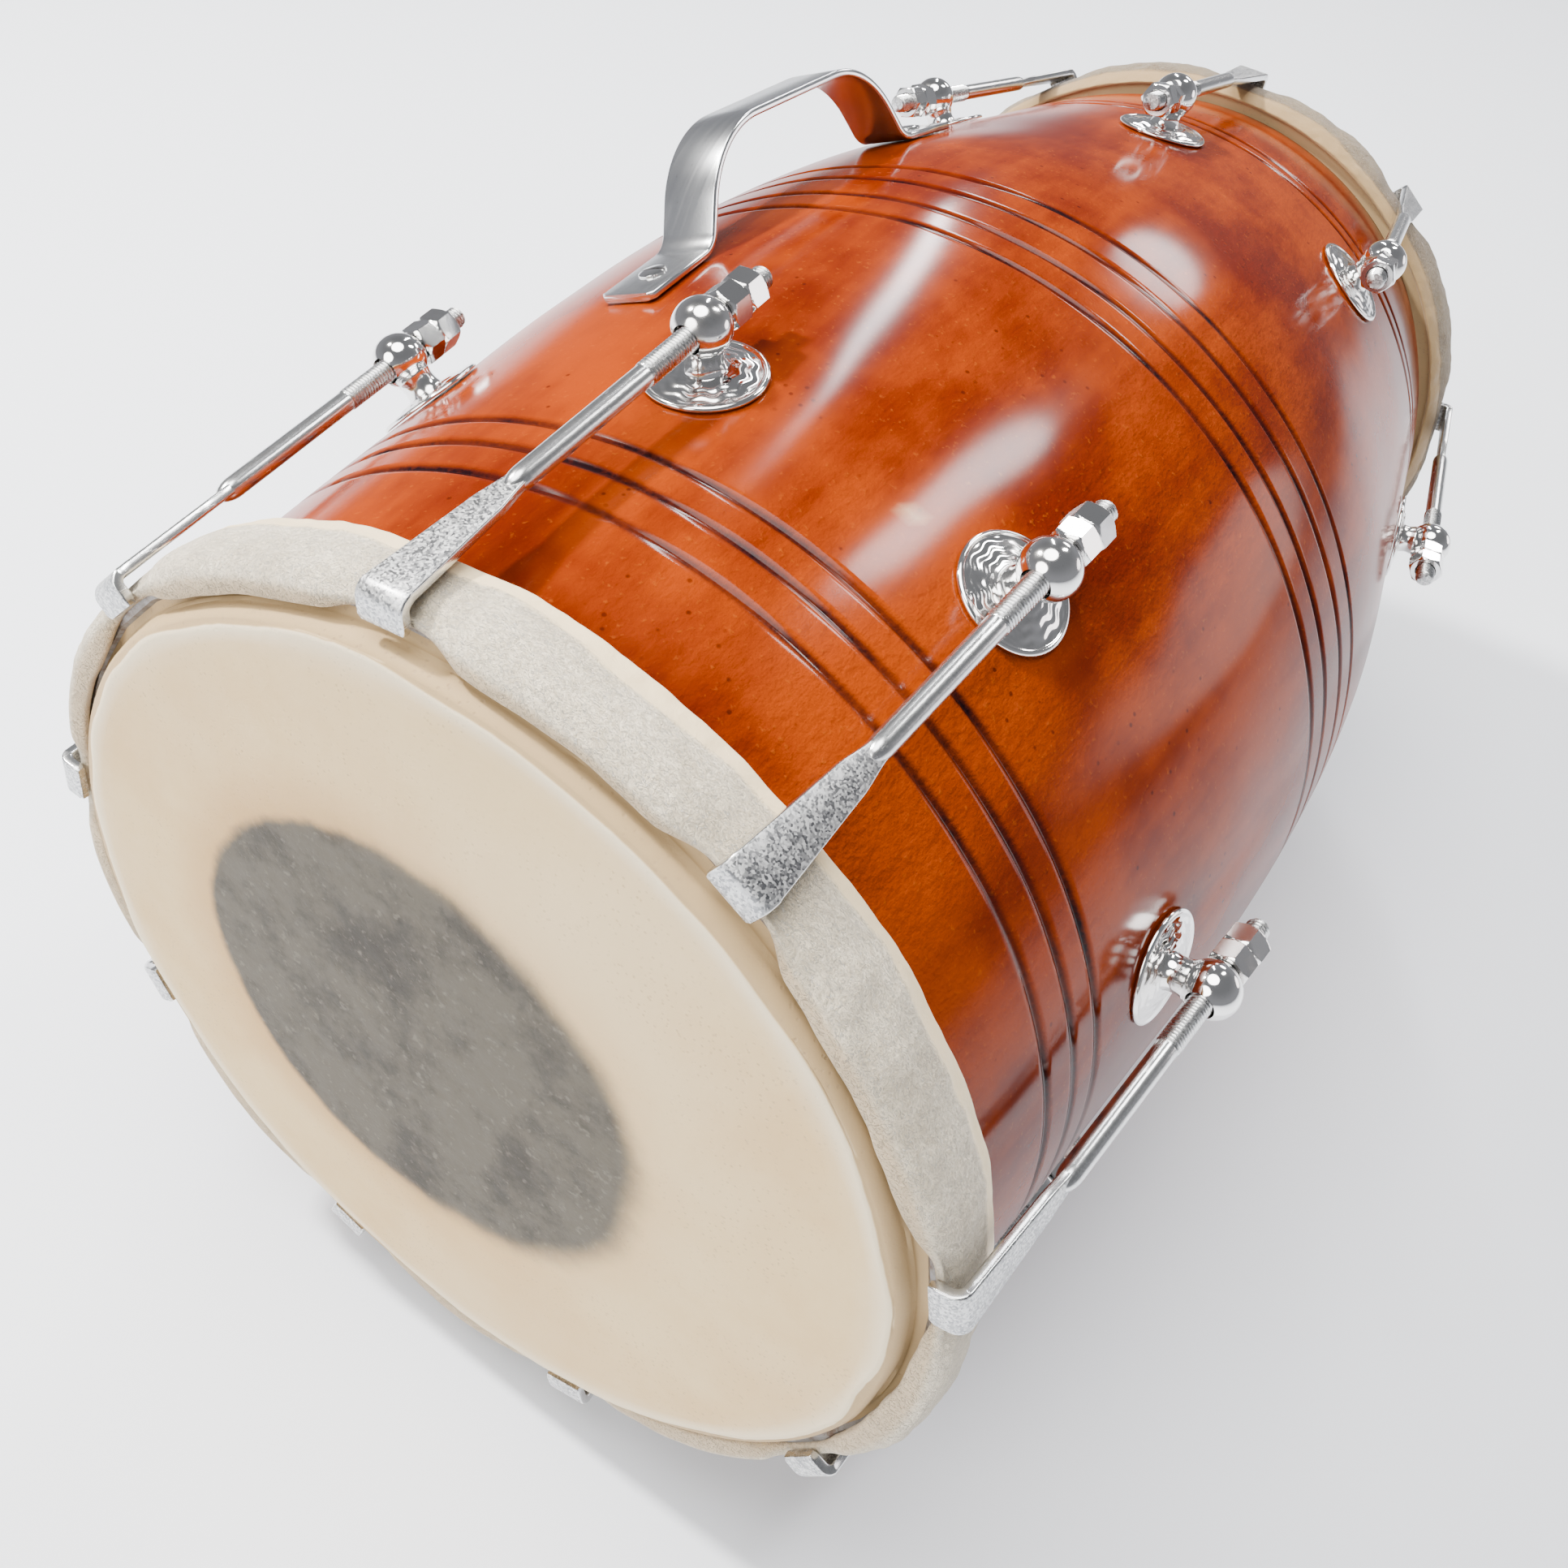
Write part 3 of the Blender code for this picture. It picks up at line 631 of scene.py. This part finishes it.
# The collar is a rolled section carried round the hoop. Under a hook it is pressed flat and back, and
# halfway between two hooks it bulges out and forward.
def makeCollar(head, material):
    turn = fullTurn(collar["columns"])[0]
    rise, ball, reach = (heads[head][0][key] for key in ("rise", "ball", "reach"))
    strapFace = ball - math.tan(rise) * reach - hook["thick"] / 2 / math.cos(rise)
    wallRadius = barrelRadius(headAlong(head, 0.004)) + membrane["gap"] + membrane["thick"]
    turns = np.array([station["turn"] for station in heads[head]])
    apart = np.abs((turn[:, None] - turns[None, :] + math.pi) % (2 * math.pi) - math.pi)
    nearest = np.sort(apart, axis=1)
    fromHook = nearest[:, 0] * strapFace
    share = nearest[:, 0] / (nearest[:, 0] + nearest[:, 1])
    # pinch: how much a hook presses the collar; the shader also darkens the collar there as painted shade.
    pinch = 1 - smoothStep(collar["hookHalfWidth"], collar["hookHalfWidth"] + collar["easing"], fromHook)
    slack = np.sin(math.pi * share) ** 0.8 * (1 - pinch)
    around = drumPoint(strapFace, turn, 0.0)
    slow, quick = ripple(around, 0.05, 31), ripple(around, 0.011, 32)
    tuck, thick = collar["tuck"][head], collar["thick"]
    outer = strapFace - collar["strapGap"] - 0.0002 * pinch + slack * (collar["bulge"] + 0.0002 * slow)
    outer = outer + (1 - pinch) * 0.0001 * quick
    calm = strapFace - collar["strapGap"] + 0.0003 * slack + 0.00004 * quick  # the raw edge bulges least
    frontIn = strapFace - collar["lipReach"] + 0.0026 - slack * (0.0034 + 0.0008 * slow)
    frontIn = np.maximum(frontIn, wallRadius + 0.0007) + (1 - pinch) * 0.0002 * quick
    front = 0.0029 - slack * (0.0030 + 0.0004 * slow)
    edge = collar["edgeDepth"] + collar["edgeWave"] * (0.5 * slow + 0.05 * quick) - 0.0006 * pinch
    middle, fore = (outer + calm) / 2, (outer + frontIn) / 2
    controls = [
        (calm - tuck, edge), (calm + 0.0001 - 0.5 * tuck, edge - 0.0022),
        (middle + 0.0002 - 0.1 * tuck, 0.0145), (outer + 0.0001, 0.0100),
        (outer - 0.0006, front + 0.0040), (outer - 0.0022, front + 0.0012), (fore, front),
        (frontIn + 0.0009, front + 0.0001), (frontIn, front + 0.0010), (frontIn + 0.0006, front + 0.0022),
        (fore, front + 0.0024), (outer - 0.0019 - thick * 0.3, front + 0.0052),
        (outer - 0.0002 - thick * 1.3, 0.0110), (middle - thick - 0.1 * tuck, 0.0150),
        (calm - thick - 0.5 * tuck, edge - 0.0022), (calm - thick - tuck, edge - 0.0003),
        (calm - thick * 0.5 - tuck, edge + 0.0003)]
    controls = np.array([np.stack(np.broadcast_arrays(*control), -1) for control in controls])
    section = closedSpline(controls, collar["rowsPerSpan"])
    radius, depth = section[..., 0], section[..., 1]
    place = drumPoint(radius, turn, headAlong(head, depth))
    onTop = smoothStep(calm - tuck - 0.0010, calm - tuck - 0.0002, radius)
    matted = 0.00014 * ripple(place, 0.0055, 33, 40) + 0.00022 * ripple(place, 0.014, 34)
    radius = radius + onTop * matted * (1 - 0.6 * pinch)
    bandEdge = edge - 0.0040 + 0.0008 * slow + 0.0002 * quick
    band = onTop * smoothStep(bandEdge - 0.0005, bandEdge + 0.0006, depth)
    band = np.maximum(band, smoothStep(edge - 0.0006, edge, depth))
    # The fold mask marks the inner front of the roll, which is painted as shade.
    fold = smoothStep(outer - 0.0030, outer - 0.0055, radius) * smoothStep(0.010, 0.006, depth)
    grid = np.dstack([drumPoint(radius, turn, headAlong(head, depth)), band * (1 - fold), fold,
                      pinch + 0 * radius])
    return makePiece(f"{head}Collar", [closedGrid(grid, ring=True)], material,
                     replaced=[f"{head}_skin"], attributes=("band", "fold", "pinch"), sharp=60)


hook = {
    "width": 0.0118, "waist": 0.0078, "thick": 0.0025, "corner": 0.00055, "bend": 0.0026, "lip": 0.0080,
    "shoulder": (0.0275, 0.0395), "neck": 0.0047, "strapEnd": 0.0450, "nose": (0.0362, 0.0055),
    "rod": 0.00272, "threadTop": 0.00302, "threadDepth": 0.00095, "pitch": 0.001,
    "threadBeforeBall": 0.0222, "pastBall": 0.0255, "endChamfer": 0.0007, "cutIn": 0.0012,
    "tip": (0.0004, 0.0003),  # what the lip's end loses in width and thickness
}


# A bar: rounded rectangles of half width, half thickness and corner radius, carried along a path. The
# last channel is bright at the narrow faces.
def barGrid(path, wideWay, halfWidth, halfThick, corner, perCorner=5):
    tangent = np.gradient(path, axis=0)
    tangent /= np.linalg.norm(tangent, axis=1)[:, None]
    thickWay = np.cross(wideWay, tangent)
    step = (np.arange(perCorner) + 0.5) / perCorner * math.pi / 2
    angle = np.concatenate([step + quarter * math.pi / 2 for quarter in range(4)])
    signWide = np.repeat([1, -1, -1, 1], perCorner)
    signThick = np.repeat([1, 1, -1, -1], perCorner)
    halfWidth, halfThick, corner = (np.broadcast_to(v, (len(path),))[:, None]
                                    for v in (halfWidth, halfThick, corner))
    wide = signWide * (halfWidth - corner) + corner * np.cos(angle)
    thick = signThick * (halfThick - corner) + corner * np.sin(angle)
    points = path[:, None] + thick[..., None] * thickWay[:, None] + wide[..., None] * wideWay
    polish = np.clip(np.abs(np.cos(angle)) * 1.5 - 0.2, 0, 1) + 0 * wide
    return np.dstack([points, polish])


# Lip, round bend and strap: the path goes out along the lip, turns by an arc and runs on along the rod.
def strapGrid(station):
    rise, halfStrap = station["rise"], hook["thick"] / 2
    corner = np.array([0.0, 0.0, (halfStrap - station["reach"]) / math.cos(rise)])
    lipWay = np.array([-math.cos(rise), 0.0, -math.sin(rise)])
    firstOut = np.array([math.sin(rise), 0.0, -math.cos(rise)])
    sweep = math.pi / 2 - rise
    reach = hook["bend"] * math.tan(sweep / 2)
    lip = corner + lipWay * np.linspace(hook["lip"] - halfStrap, reach, 5)[:, None]
    centre = corner + lipWay * reach - firstOut * hook["bend"]
    angle = np.linspace(0, sweep, 10)[1:-1, None]
    arc = centre + hook["bend"] * (firstOut * np.cos(angle) - lipWay * np.sin(angle))
    low, high = hook["shoulder"]
    stops = np.concatenate([np.linspace(reach, low * 0.97, 9), np.linspace(low, high, 12),
                            [hook["strapEnd"]]])
    straight = corner + np.array([0.0, 0.0, 1.0]) * stops[:, None]
    path = np.vstack([lip, arc, straight])
    depth = np.concatenate([np.zeros(len(lip) + len(arc)), stops])
    wide = hook["width"] + (hook["waist"] - hook["width"]) * np.clip(depth / low, 0, 1)
    halfWidth = (wide + (hook["neck"] - hook["waist"]) * smoothStep(low, high, depth)) / 2
    halfThick = np.full(len(path), halfStrap)
    halfWidth[0] -= hook["tip"][0]
    halfThick[0] -= hook["tip"][1]
    return barGrid(path, np.array([0.0, 1.0, 0.0]), halfWidth, halfThick, hook["corner"])


# Rod about local Z: an egg-shaped nose, a plain length, then a thread whose radius is a triangle wave of
# height over pitch less the turn.
def rodGrid(station, columns=24):
    start = -station["reach"] / math.cos(station["rise"])
    noseAt, noseLength = start + hook["nose"][0], hook["nose"][1]
    threadAt, end = -hook["threadBeforeBall"], hook["pastBall"]
    chamferAt = end - hook["endChamfer"]
    nose = noseAt + noseLength * (1 - np.cos(np.linspace(0.25, math.pi / 2, 8)))
    plain = np.linspace(nose[-1], threadAt, 8)[1:]
    thread = np.arange(threadAt, chamferAt, hook["pitch"] / 8)[1:]
    height = np.concatenate([nose, plain, thread, [chamferAt, end]])[:, None]
    turn = fullTurn(columns)
    beyondNose = np.clip((height - noseAt) / noseLength, 0, 1)
    radius = hook["rod"] * np.sqrt(1 - (1 - beyondNose) ** 2) + 0 * turn
    phase = (height / hook["pitch"] - turn / (2 * math.pi)) % 1.0
    ridge = hook["threadTop"] - hook["threadDepth"] * np.abs(2 * phase - 1) ** 1.2
    cut = smoothStep(threadAt, threadAt + hook["cutIn"], height) + 0 * turn
    radius = radius * (1 - cut) + ridge * cut
    radius = np.minimum(radius, hook["threadTop"] - np.clip(height - chamferAt, 0, 1))
    inThread = cut * (1 - (radius - hook["threadTop"] + hook["threadDepth"]) / hook["threadDepth"])
    return np.dstack([roundZ(radius, height, turn), 0.95 - 0.9 * np.clip(inThread, 0, 1)])


def makeHook(head, station):
    name = f"{head}_hook_{station['number']}"
    grids = [closedGrid(placed(grid(station), *station["way"])) for grid in (strapGrid, rodGrid)]
    makePiece(f"{head}Hook{station['number']}", grids, hookMaterial, body=name,
              replaced=[name], attributes=("polish",), sharp=50)


lug = {
    "ball": 0.0072, "bore": 0.0036, "boreEdge": 0.0004, "postTop": 0.0047, "post": 0.0046, "foot": 0.0064,
    "washer": 0.0150, "hole": 0.0032, "rim": 0.0008, "dome": 0.0022, "beadAt": 0.0141, "ringStep": 0.0027,
    "petals": 12, "gap": 0.0003,
    "hug": 0.75,  # share of the barrel's curve that a plate takes
}


# A ball turned about the rod's line, bored through, with a small round at both mouths of the bore.
def ballGrid():
    half = math.asin(lug["bore"] / lug["ball"])
    arc = np.linspace(half + 0.07, math.pi - half - 0.07, 26)
    mouth = lug["ball"] * math.cos(half)
    rims = np.array([lug["bore"], lug["bore"] + 0.00012])
    levels = np.array([mouth - lug["boreEdge"], mouth - 0.00006])
    radius = np.concatenate([rims, lug["ball"] * np.sin(arc), rims[::-1]])
    height = np.concatenate([levels, lug["ball"] * np.cos(arc), -levels[::-1]])
    return turnedGrid(radius, height, 56)


# A turned post under the ball: a waist, then a fillet that spreads into the foot.
def postGrid(height):
    seat = -height + lug["gap"] + 0.0012
    steps = np.linspace(0, 1, 14)
    fillet = lug["post"] + (lug["foot"] - lug["post"]) * (1 - np.sqrt(1 - steps**2))
    level = seat + 0.0034 * (1 - steps)
    top, bottom = lug["postTop"], seat - 0.0006
    radius = np.concatenate([[0.0030, top + 0.0003, top], fillet, [lug["foot"], 0.002]])
    heights = np.concatenate([[-0.0035, -0.0055, -0.0066], level, [bottom, bottom]])
    return turnedGrid(radius, heights, 40)


# A pressed rosette: a low dome with a beaded rim. Rings whose radius waves with the turn are raised on it,
# and the whole plate follows the curve of the barrel under it.
def washerGrid(height, barrelHere, columns=120):
    turn = fullTurn(columns)
    rows = np.linspace(lug["hole"], lug["washer"], 44)[:, None]
    wavy = rows * (1 + 0.045 * np.cos(lug["petals"] * turn) * smoothStep(0.004, 0.009, rows))
    ringed = smoothStep(0.0052, 0.0068, rows) * smoothStep(0.0136, 0.0125, rows)
    rings = np.cos(2 * math.pi * wavy / lug["ringStep"]) * ringed
    bead = np.exp(-((rows - lug["beadAt"]) / 0.0005) ** 2)
    dome = lug["rim"] + (lug["dome"] - lug["rim"]) * smoothStep(lug["washer"] - 0.0012, 0.0055, rows)
    top = dome + 0.00009 * rings + 0.00038 * bead + 0 * turn
    top[-1] = lug["rim"] * 0.55
    beneath = np.array([lug["washer"] - 0.0002, 0.008, lug["hole"]])[:, None]
    radius = np.concatenate([rows, beneath]) + 0 * turn
    level = np.concatenate([top, 0 * (beneath + turn)])
    level = level - lug["hug"] * (radius * np.sin(turn)) ** 2 / (2 * barrelHere) + 0.00012
    return roundZ(radius, level - height + lug["gap"], turn)


def makeLug(head, station):
    number, height, flatWay = station["number"], station["height"], station["flatWay"]
    grids = [closedGrid(placed(ballGrid(), *station["way"]), ring=True),
             closedGrid(placed(postGrid(height), *flatWay))]
    makePiece(f"{head}Lug{number}", grids, chromeMaterial,
              replaced=[f"{head}_lug_{number}"], sharp=40)
    plate = closedGrid(placed(washerGrid(height, station["ball"] - height), *flatWay), ring=True)
    makePiece(f"{head}Rosette{number}", [plate], chromeMaterial, sharp=60)


nut = {
    "flats": 0.0100, "first": 0.0066, "second": 0.0064, "between": 0.00015, "bore": 0.00306, "gap": 0.0003,
    "boreMouth": 0.0036, "countersink": 0.0004, "cone": 0.965, "coneRise": 1.5,
    "lockTurn": math.radians(17),  # the most that a lock nut is turned past its nut
    "nearFloor": 0.5,  # a nut this near the bottom turns by its angle from there
}


# A hexagon cut by a cone at both ends: each point takes the smaller of the hexagon's and the cone's radius.
def nutGrid(low, high, turned, columns=72):
    turn = fullTurn(columns)
    fromFlat = (turn % (math.pi / 3)) - math.pi / 6
    hexagon = nut["flats"] / 2 / np.cos(fromFlat)
    steps = np.array([0.0, 0.15, 0.3, 0.45, 0.6, 0.8, 1.0, 1.25]) * 0.001
    height = np.concatenate([low + steps, high - steps[::-1]])[:, None]
    cone = nut["flats"] / 2 * nut["cone"] + np.minimum(height - low, high - height) * nut["coneRise"]
    sink = nut["countersink"]
    inner = nut["bore"] + np.array([sink, 0, 0, sink])[:, None] + 0 * turn
    radius = np.concatenate([np.minimum(hexagon, cone), inner])
    height = np.concatenate([height, np.array([high, high - sink, low + sink, low])[:, None]])
    return roundZ(radius, height, turn + turned)


# A tuning nut against the ball, then a lock nut, each pair at its own turn.
def makeNuts(head, station):
    number = station["number"]
    low = math.sqrt(lug["ball"]**2 - nut["boreMouth"]**2) + nut["gap"]
    facing = (station["turn"] % (2 * math.pi)) - math.pi
    below = abs(facing) < nut["nearFloor"]
    turned = facing if below else float(number)
    lockTurned = turned if below else turned + nut["lockTurn"] * math.sin(2.3 * number)
    body = f"{head}_nut_{number}"
    for kind, length, at in (("Tuning", nut["first"], turned), ("Lock", nut["second"], lockTurned)):
        grid = closedGrid(placed(nutGrid(low, low + length, at), *station["way"]), ring=True)
        makePiece(f"{head}{kind}Nut{number}", [grid], chromeMaterial, body=body,
                  replaced=[body], sharp=24)
        low += length + nut["between"]


# Each skin is one round hide: its cut covers the head, the roll over the hoop and the collar.
for head, material in (("bass", bassMaterial), ("treble", trebleMaterial)):
    stretched = makeMembrane(head, material)
    turnedBack = makeCollar(head, collarMaterials[head])
    hoopMesh = frame["nodes"][f"{head}_hoop"].data
    hoopMesh.materials.clear()
    hoopMesh.materials.append(hoopMaterial)
    for station in heads[head]:
        makeHook(head, station)
        makeLug(head, station)
        makeNuts(head, station)
    print(head, "head made")


handle = {
    "turn": math.radians(-25.0), "centre": 0.213, "span": 0.106, "top": 0.1695, "lean": 0.014,
    "width": 0.0175, "thick": 0.0022, "foot": 0.029, "bend": 0.008, "crown": 0.030, "gap": 0.0003,
    "clip": 0.0014, "corner": 0.0007,
    "screwOut": 0.002,  # from the middle of a foot to its screw
}


# Straight runs joined by arcs. A corner is a place along the drum, a radius and the radius of its bend, or
# 0 for none.
def bentPath(corners, steps=16):
    path = [np.array(corners[0][:2])]
    for before, here, after in zip(corners, corners[1:], corners[2:]):
        point = np.array(here[:2])
        if here[2] == 0:
            path.append(point)
            continue
        back, on = unit(np.array(before[:2]) - point), unit(np.array(after[:2]) - point)
        half = math.acos(back @ on) / 2
        reach, away = here[2] / math.tan(half), here[2] / math.sin(half)
        centre = point + unit(back + on) * away
        first, last = point + back * reach - centre, point + on * reach - centre
        sweep = math.atan2(first[0] * last[1] - first[1] * last[0], first @ last)
        angle = np.linspace(0, sweep, steps)[:, None]
        swung = np.array([-first[1], first[0]])
        path += list(centre + first * np.cos(angle) + swung * np.sin(angle))
    path.append(np.array(corners[-1][:2]))
    return np.array(path)


# The corners of the strap's middle line, and for each foot its screw's place, radius and slope.
def handlePath():
    halfThick, halfFoot = handle["thick"] / 2, handle["foot"] / 2
    corners, feet = [], []
    for side in (-1, 1):
        bend = handle["centre"] + side * handle["span"] / 2
        middle = bend + side * halfFoot
        slope = barrelSlope(middle)
        level = barrelRadius(middle) + handle["gap"] + halfThick
        outs = (halfFoot, halfFoot - handle["clip"], -halfFoot, handle["screwOut"])
        end, clipped, inner, screw = ((middle + side * out, level + slope * side * out) for out in outs)
        feet.append((*screw, slope))
        half = [(*end, 0.0), (*clipped, 0.0), (*inner, handle["bend"]),
                (bend - side * handle["lean"], handle["top"] - halfThick, handle["crown"])]
        corners += half if side < 0 else half[::-1]
    return corners, feet


# Two half discs with a slot between them, on one flat disc. Each is a dome cut off at the slot's wall.
def screwGrids(radius=0.0038, rise=0.0013, slotHalf=0.00045):
    base, top = -0.0004, rise * 0.35
    grids = [turnedGrid([0.0005, radius, radius, 0.0005], [base, base, top, top], 32)]
    turn = np.linspace(-math.pi / 2, math.pi / 2, 25)[None, :]
    tilt = np.linspace(0, 1.5, 9)[:, None]
    for side in (-1, 1):
        across = np.maximum(radius * np.cos(tilt) * np.cos(turn), slotHalf) * side
        aside = radius * np.cos(tilt) * np.sin(turn)
        height = rise * (0.45 + 0.55 * np.sin(tilt)) + 0 * turn
        foot = np.stack([across[0], aside[0], 0 * across[0]], -1)[None]
        grids.append(np.concatenate([foot, np.stack([across, aside, height], -1)]))
    return grids


def makeHandle():
    corners, feet = handlePath()
    flat = bentPath(corners)
    turn = handle["turn"]
    path = drumPoint(flat[:, 1], turn, flat[:, 0])
    aside = rightOfDrum * math.cos(turn) - upFromDrum * math.sin(turn)
    outwards = rightOfDrum * math.sin(turn) + upFromDrum * math.cos(turn)
    halfWidth = np.full(len(path), handle["width"] / 2)
    halfWidth[[0, -1]] -= handle["clip"]
    strap = barGrid(path, aside, halfWidth, handle["thick"] / 2, handle["corner"])
    makePiece("handleStrap", [closedGrid(strap)], handleMaterial,
              replaced=["handle"], attributes=("polish",), sharp=50)
    for number, (along, level, slope) in enumerate(feet, 1):
        normal = unit(outwards - alongDrum * slope)
        centre = drumPoint(level, turn, along) + normal * handle["thick"] / 2
        spin = 0.6 + 1.1 * number  # each slot has its own direction
        ahead = np.cross(normal, aside)
        across = aside * math.cos(spin) + ahead * math.sin(spin)
        way = (centre, across, np.cross(normal, across), normal)
        grids = [closedGrid(placed(grid, *way)) for grid in screwGrids()]
        makePiece(f"handleScrew{number}", grids, chromeMaterial, sharp=30)


makeHandle()
print("handle made")


stage = {
    "floorSize": 9.0, "floorColour": (0.84, 0.865, 0.915), "worldLow": (0.56, 0.57, 0.61),
    "worldHigh": (0.36, 0.37, 0.39), "worldStrength": 0.55,
}


def makeFloor():
    half = stage["floorSize"] / 2
    mesh = bpy.data.meshes.new("floor")
    corners = [(-half, -half, 0), (half, -half, 0), (half, half, 0), (-half, half, 0)]
    mesh.from_pydata(corners, [], [(0, 1, 2, 3)])
    material, shader, place = newMaterial("paleFloor", Roughness=0.85, Specular_IOR_Level=0.2)
    darker = tuple(c * 0.985 for c in stage["floorColour"])
    feed(shader, Base_Color=mixed(noise(place, 3.0, 2.0), stage["floorColour"], darker))
    mesh.materials.append(material)
    addObject("floor", mesh)


# Each light: its place, width, height, power and colour.
lights = {
    "key": ((-1.05, -0.30, 1.50), 0.16, 0.16, 66.0, (1.0, 0.975, 0.94)),
    "ceiling": ((-0.25, -0.30, 2.30), 1.6, 1.6, 74.0, (1.0, 0.995, 0.985)),
    "farStrip": ((-0.85, 1.75, 1.65), 0.10, 1.30, 26.0, (0.97, 0.98, 1.0)),
    "nearStrip": ((0.48, 1.25, 1.85), 0.26, 0.60, 22.0, (1.0, 0.99, 0.98)),
    "upperPanel": ((0.14, 2.15, 1.18), 0.55, 0.35, 11.0, (1.0, 0.96, 0.96)),
    "frontFill": ((-0.60, -2.1, 1.5), 1.8, 1.4, 66.0, (1.0, 0.985, 0.95)),
    "rearWall": ((2.00, 2.10, 0.55), 1.3, 0.9, 12.0, (1.0, 0.93, 0.93)),
}


# Every light looks at the middle of the drum. The world is lighter near the horizon.
def makeLights():
    target = Vector(drumPoint(0.0, 0.0, drumSpan / 2))
    for name, (place, width, height, power, tint) in lights.items():
        data = bpy.data.lights.new(name, "AREA")
        data.shape = "ELLIPSE"
        data.size, data.size_y = width, height
        data.energy = power
        data.color = tint
        light = addObject(name, data)
        light.location = place
        light.rotation_euler = (target - Vector(place)).to_track_quat("-Z", "Y").to_euler()
    world = bpy.data.worlds.new("studio")
    bpy.context.scene.world = world
    world.use_nodes = True
    direction = Field(world.node_tree).node("ShaderNodeTexCoord", output="Generated")
    upwards = direction.node("ShaderNodeSeparateXYZ", {}, {0: direction}, 2)
    tint = mixed(between(upwards, 0.05, 0.75), stage["worldLow"], stage["worldHigh"])
    background = world.node_tree.nodes["Background"]
    background.inputs["Strength"].default_value = stage["worldStrength"]
    world.node_tree.links.new(tint.socket, background.inputs["Color"])


camera = {
    "place": (0.1393, -0.3724, 0.4614), "looks": (-0.3355, 0.6788, -0.6532), "up": (-0.4359, 0.5028, 0.7464),
    "lens": 34.15, "shift": -0.1035,
}


def makeCamera():
    data = bpy.data.cameras.new("camera")
    data.lens = camera["lens"]
    data.sensor_width = 36.0
    data.shift_y = camera["shift"]
    data.clip_start = 0.01
    looks = Vector(camera["looks"]).normalized()
    side = looks.cross(Vector(camera["up"])).normalized()
    upwards = side.cross(looks)
    made = addObject("camera", data)
    made.rotation_euler = Matrix((side, upwards, -looks)).transposed().to_euler()
    made.location = camera["place"]
    bpy.context.scene.camera = made


makeFloor()
makeLights()
makeCamera()
print("stage made")
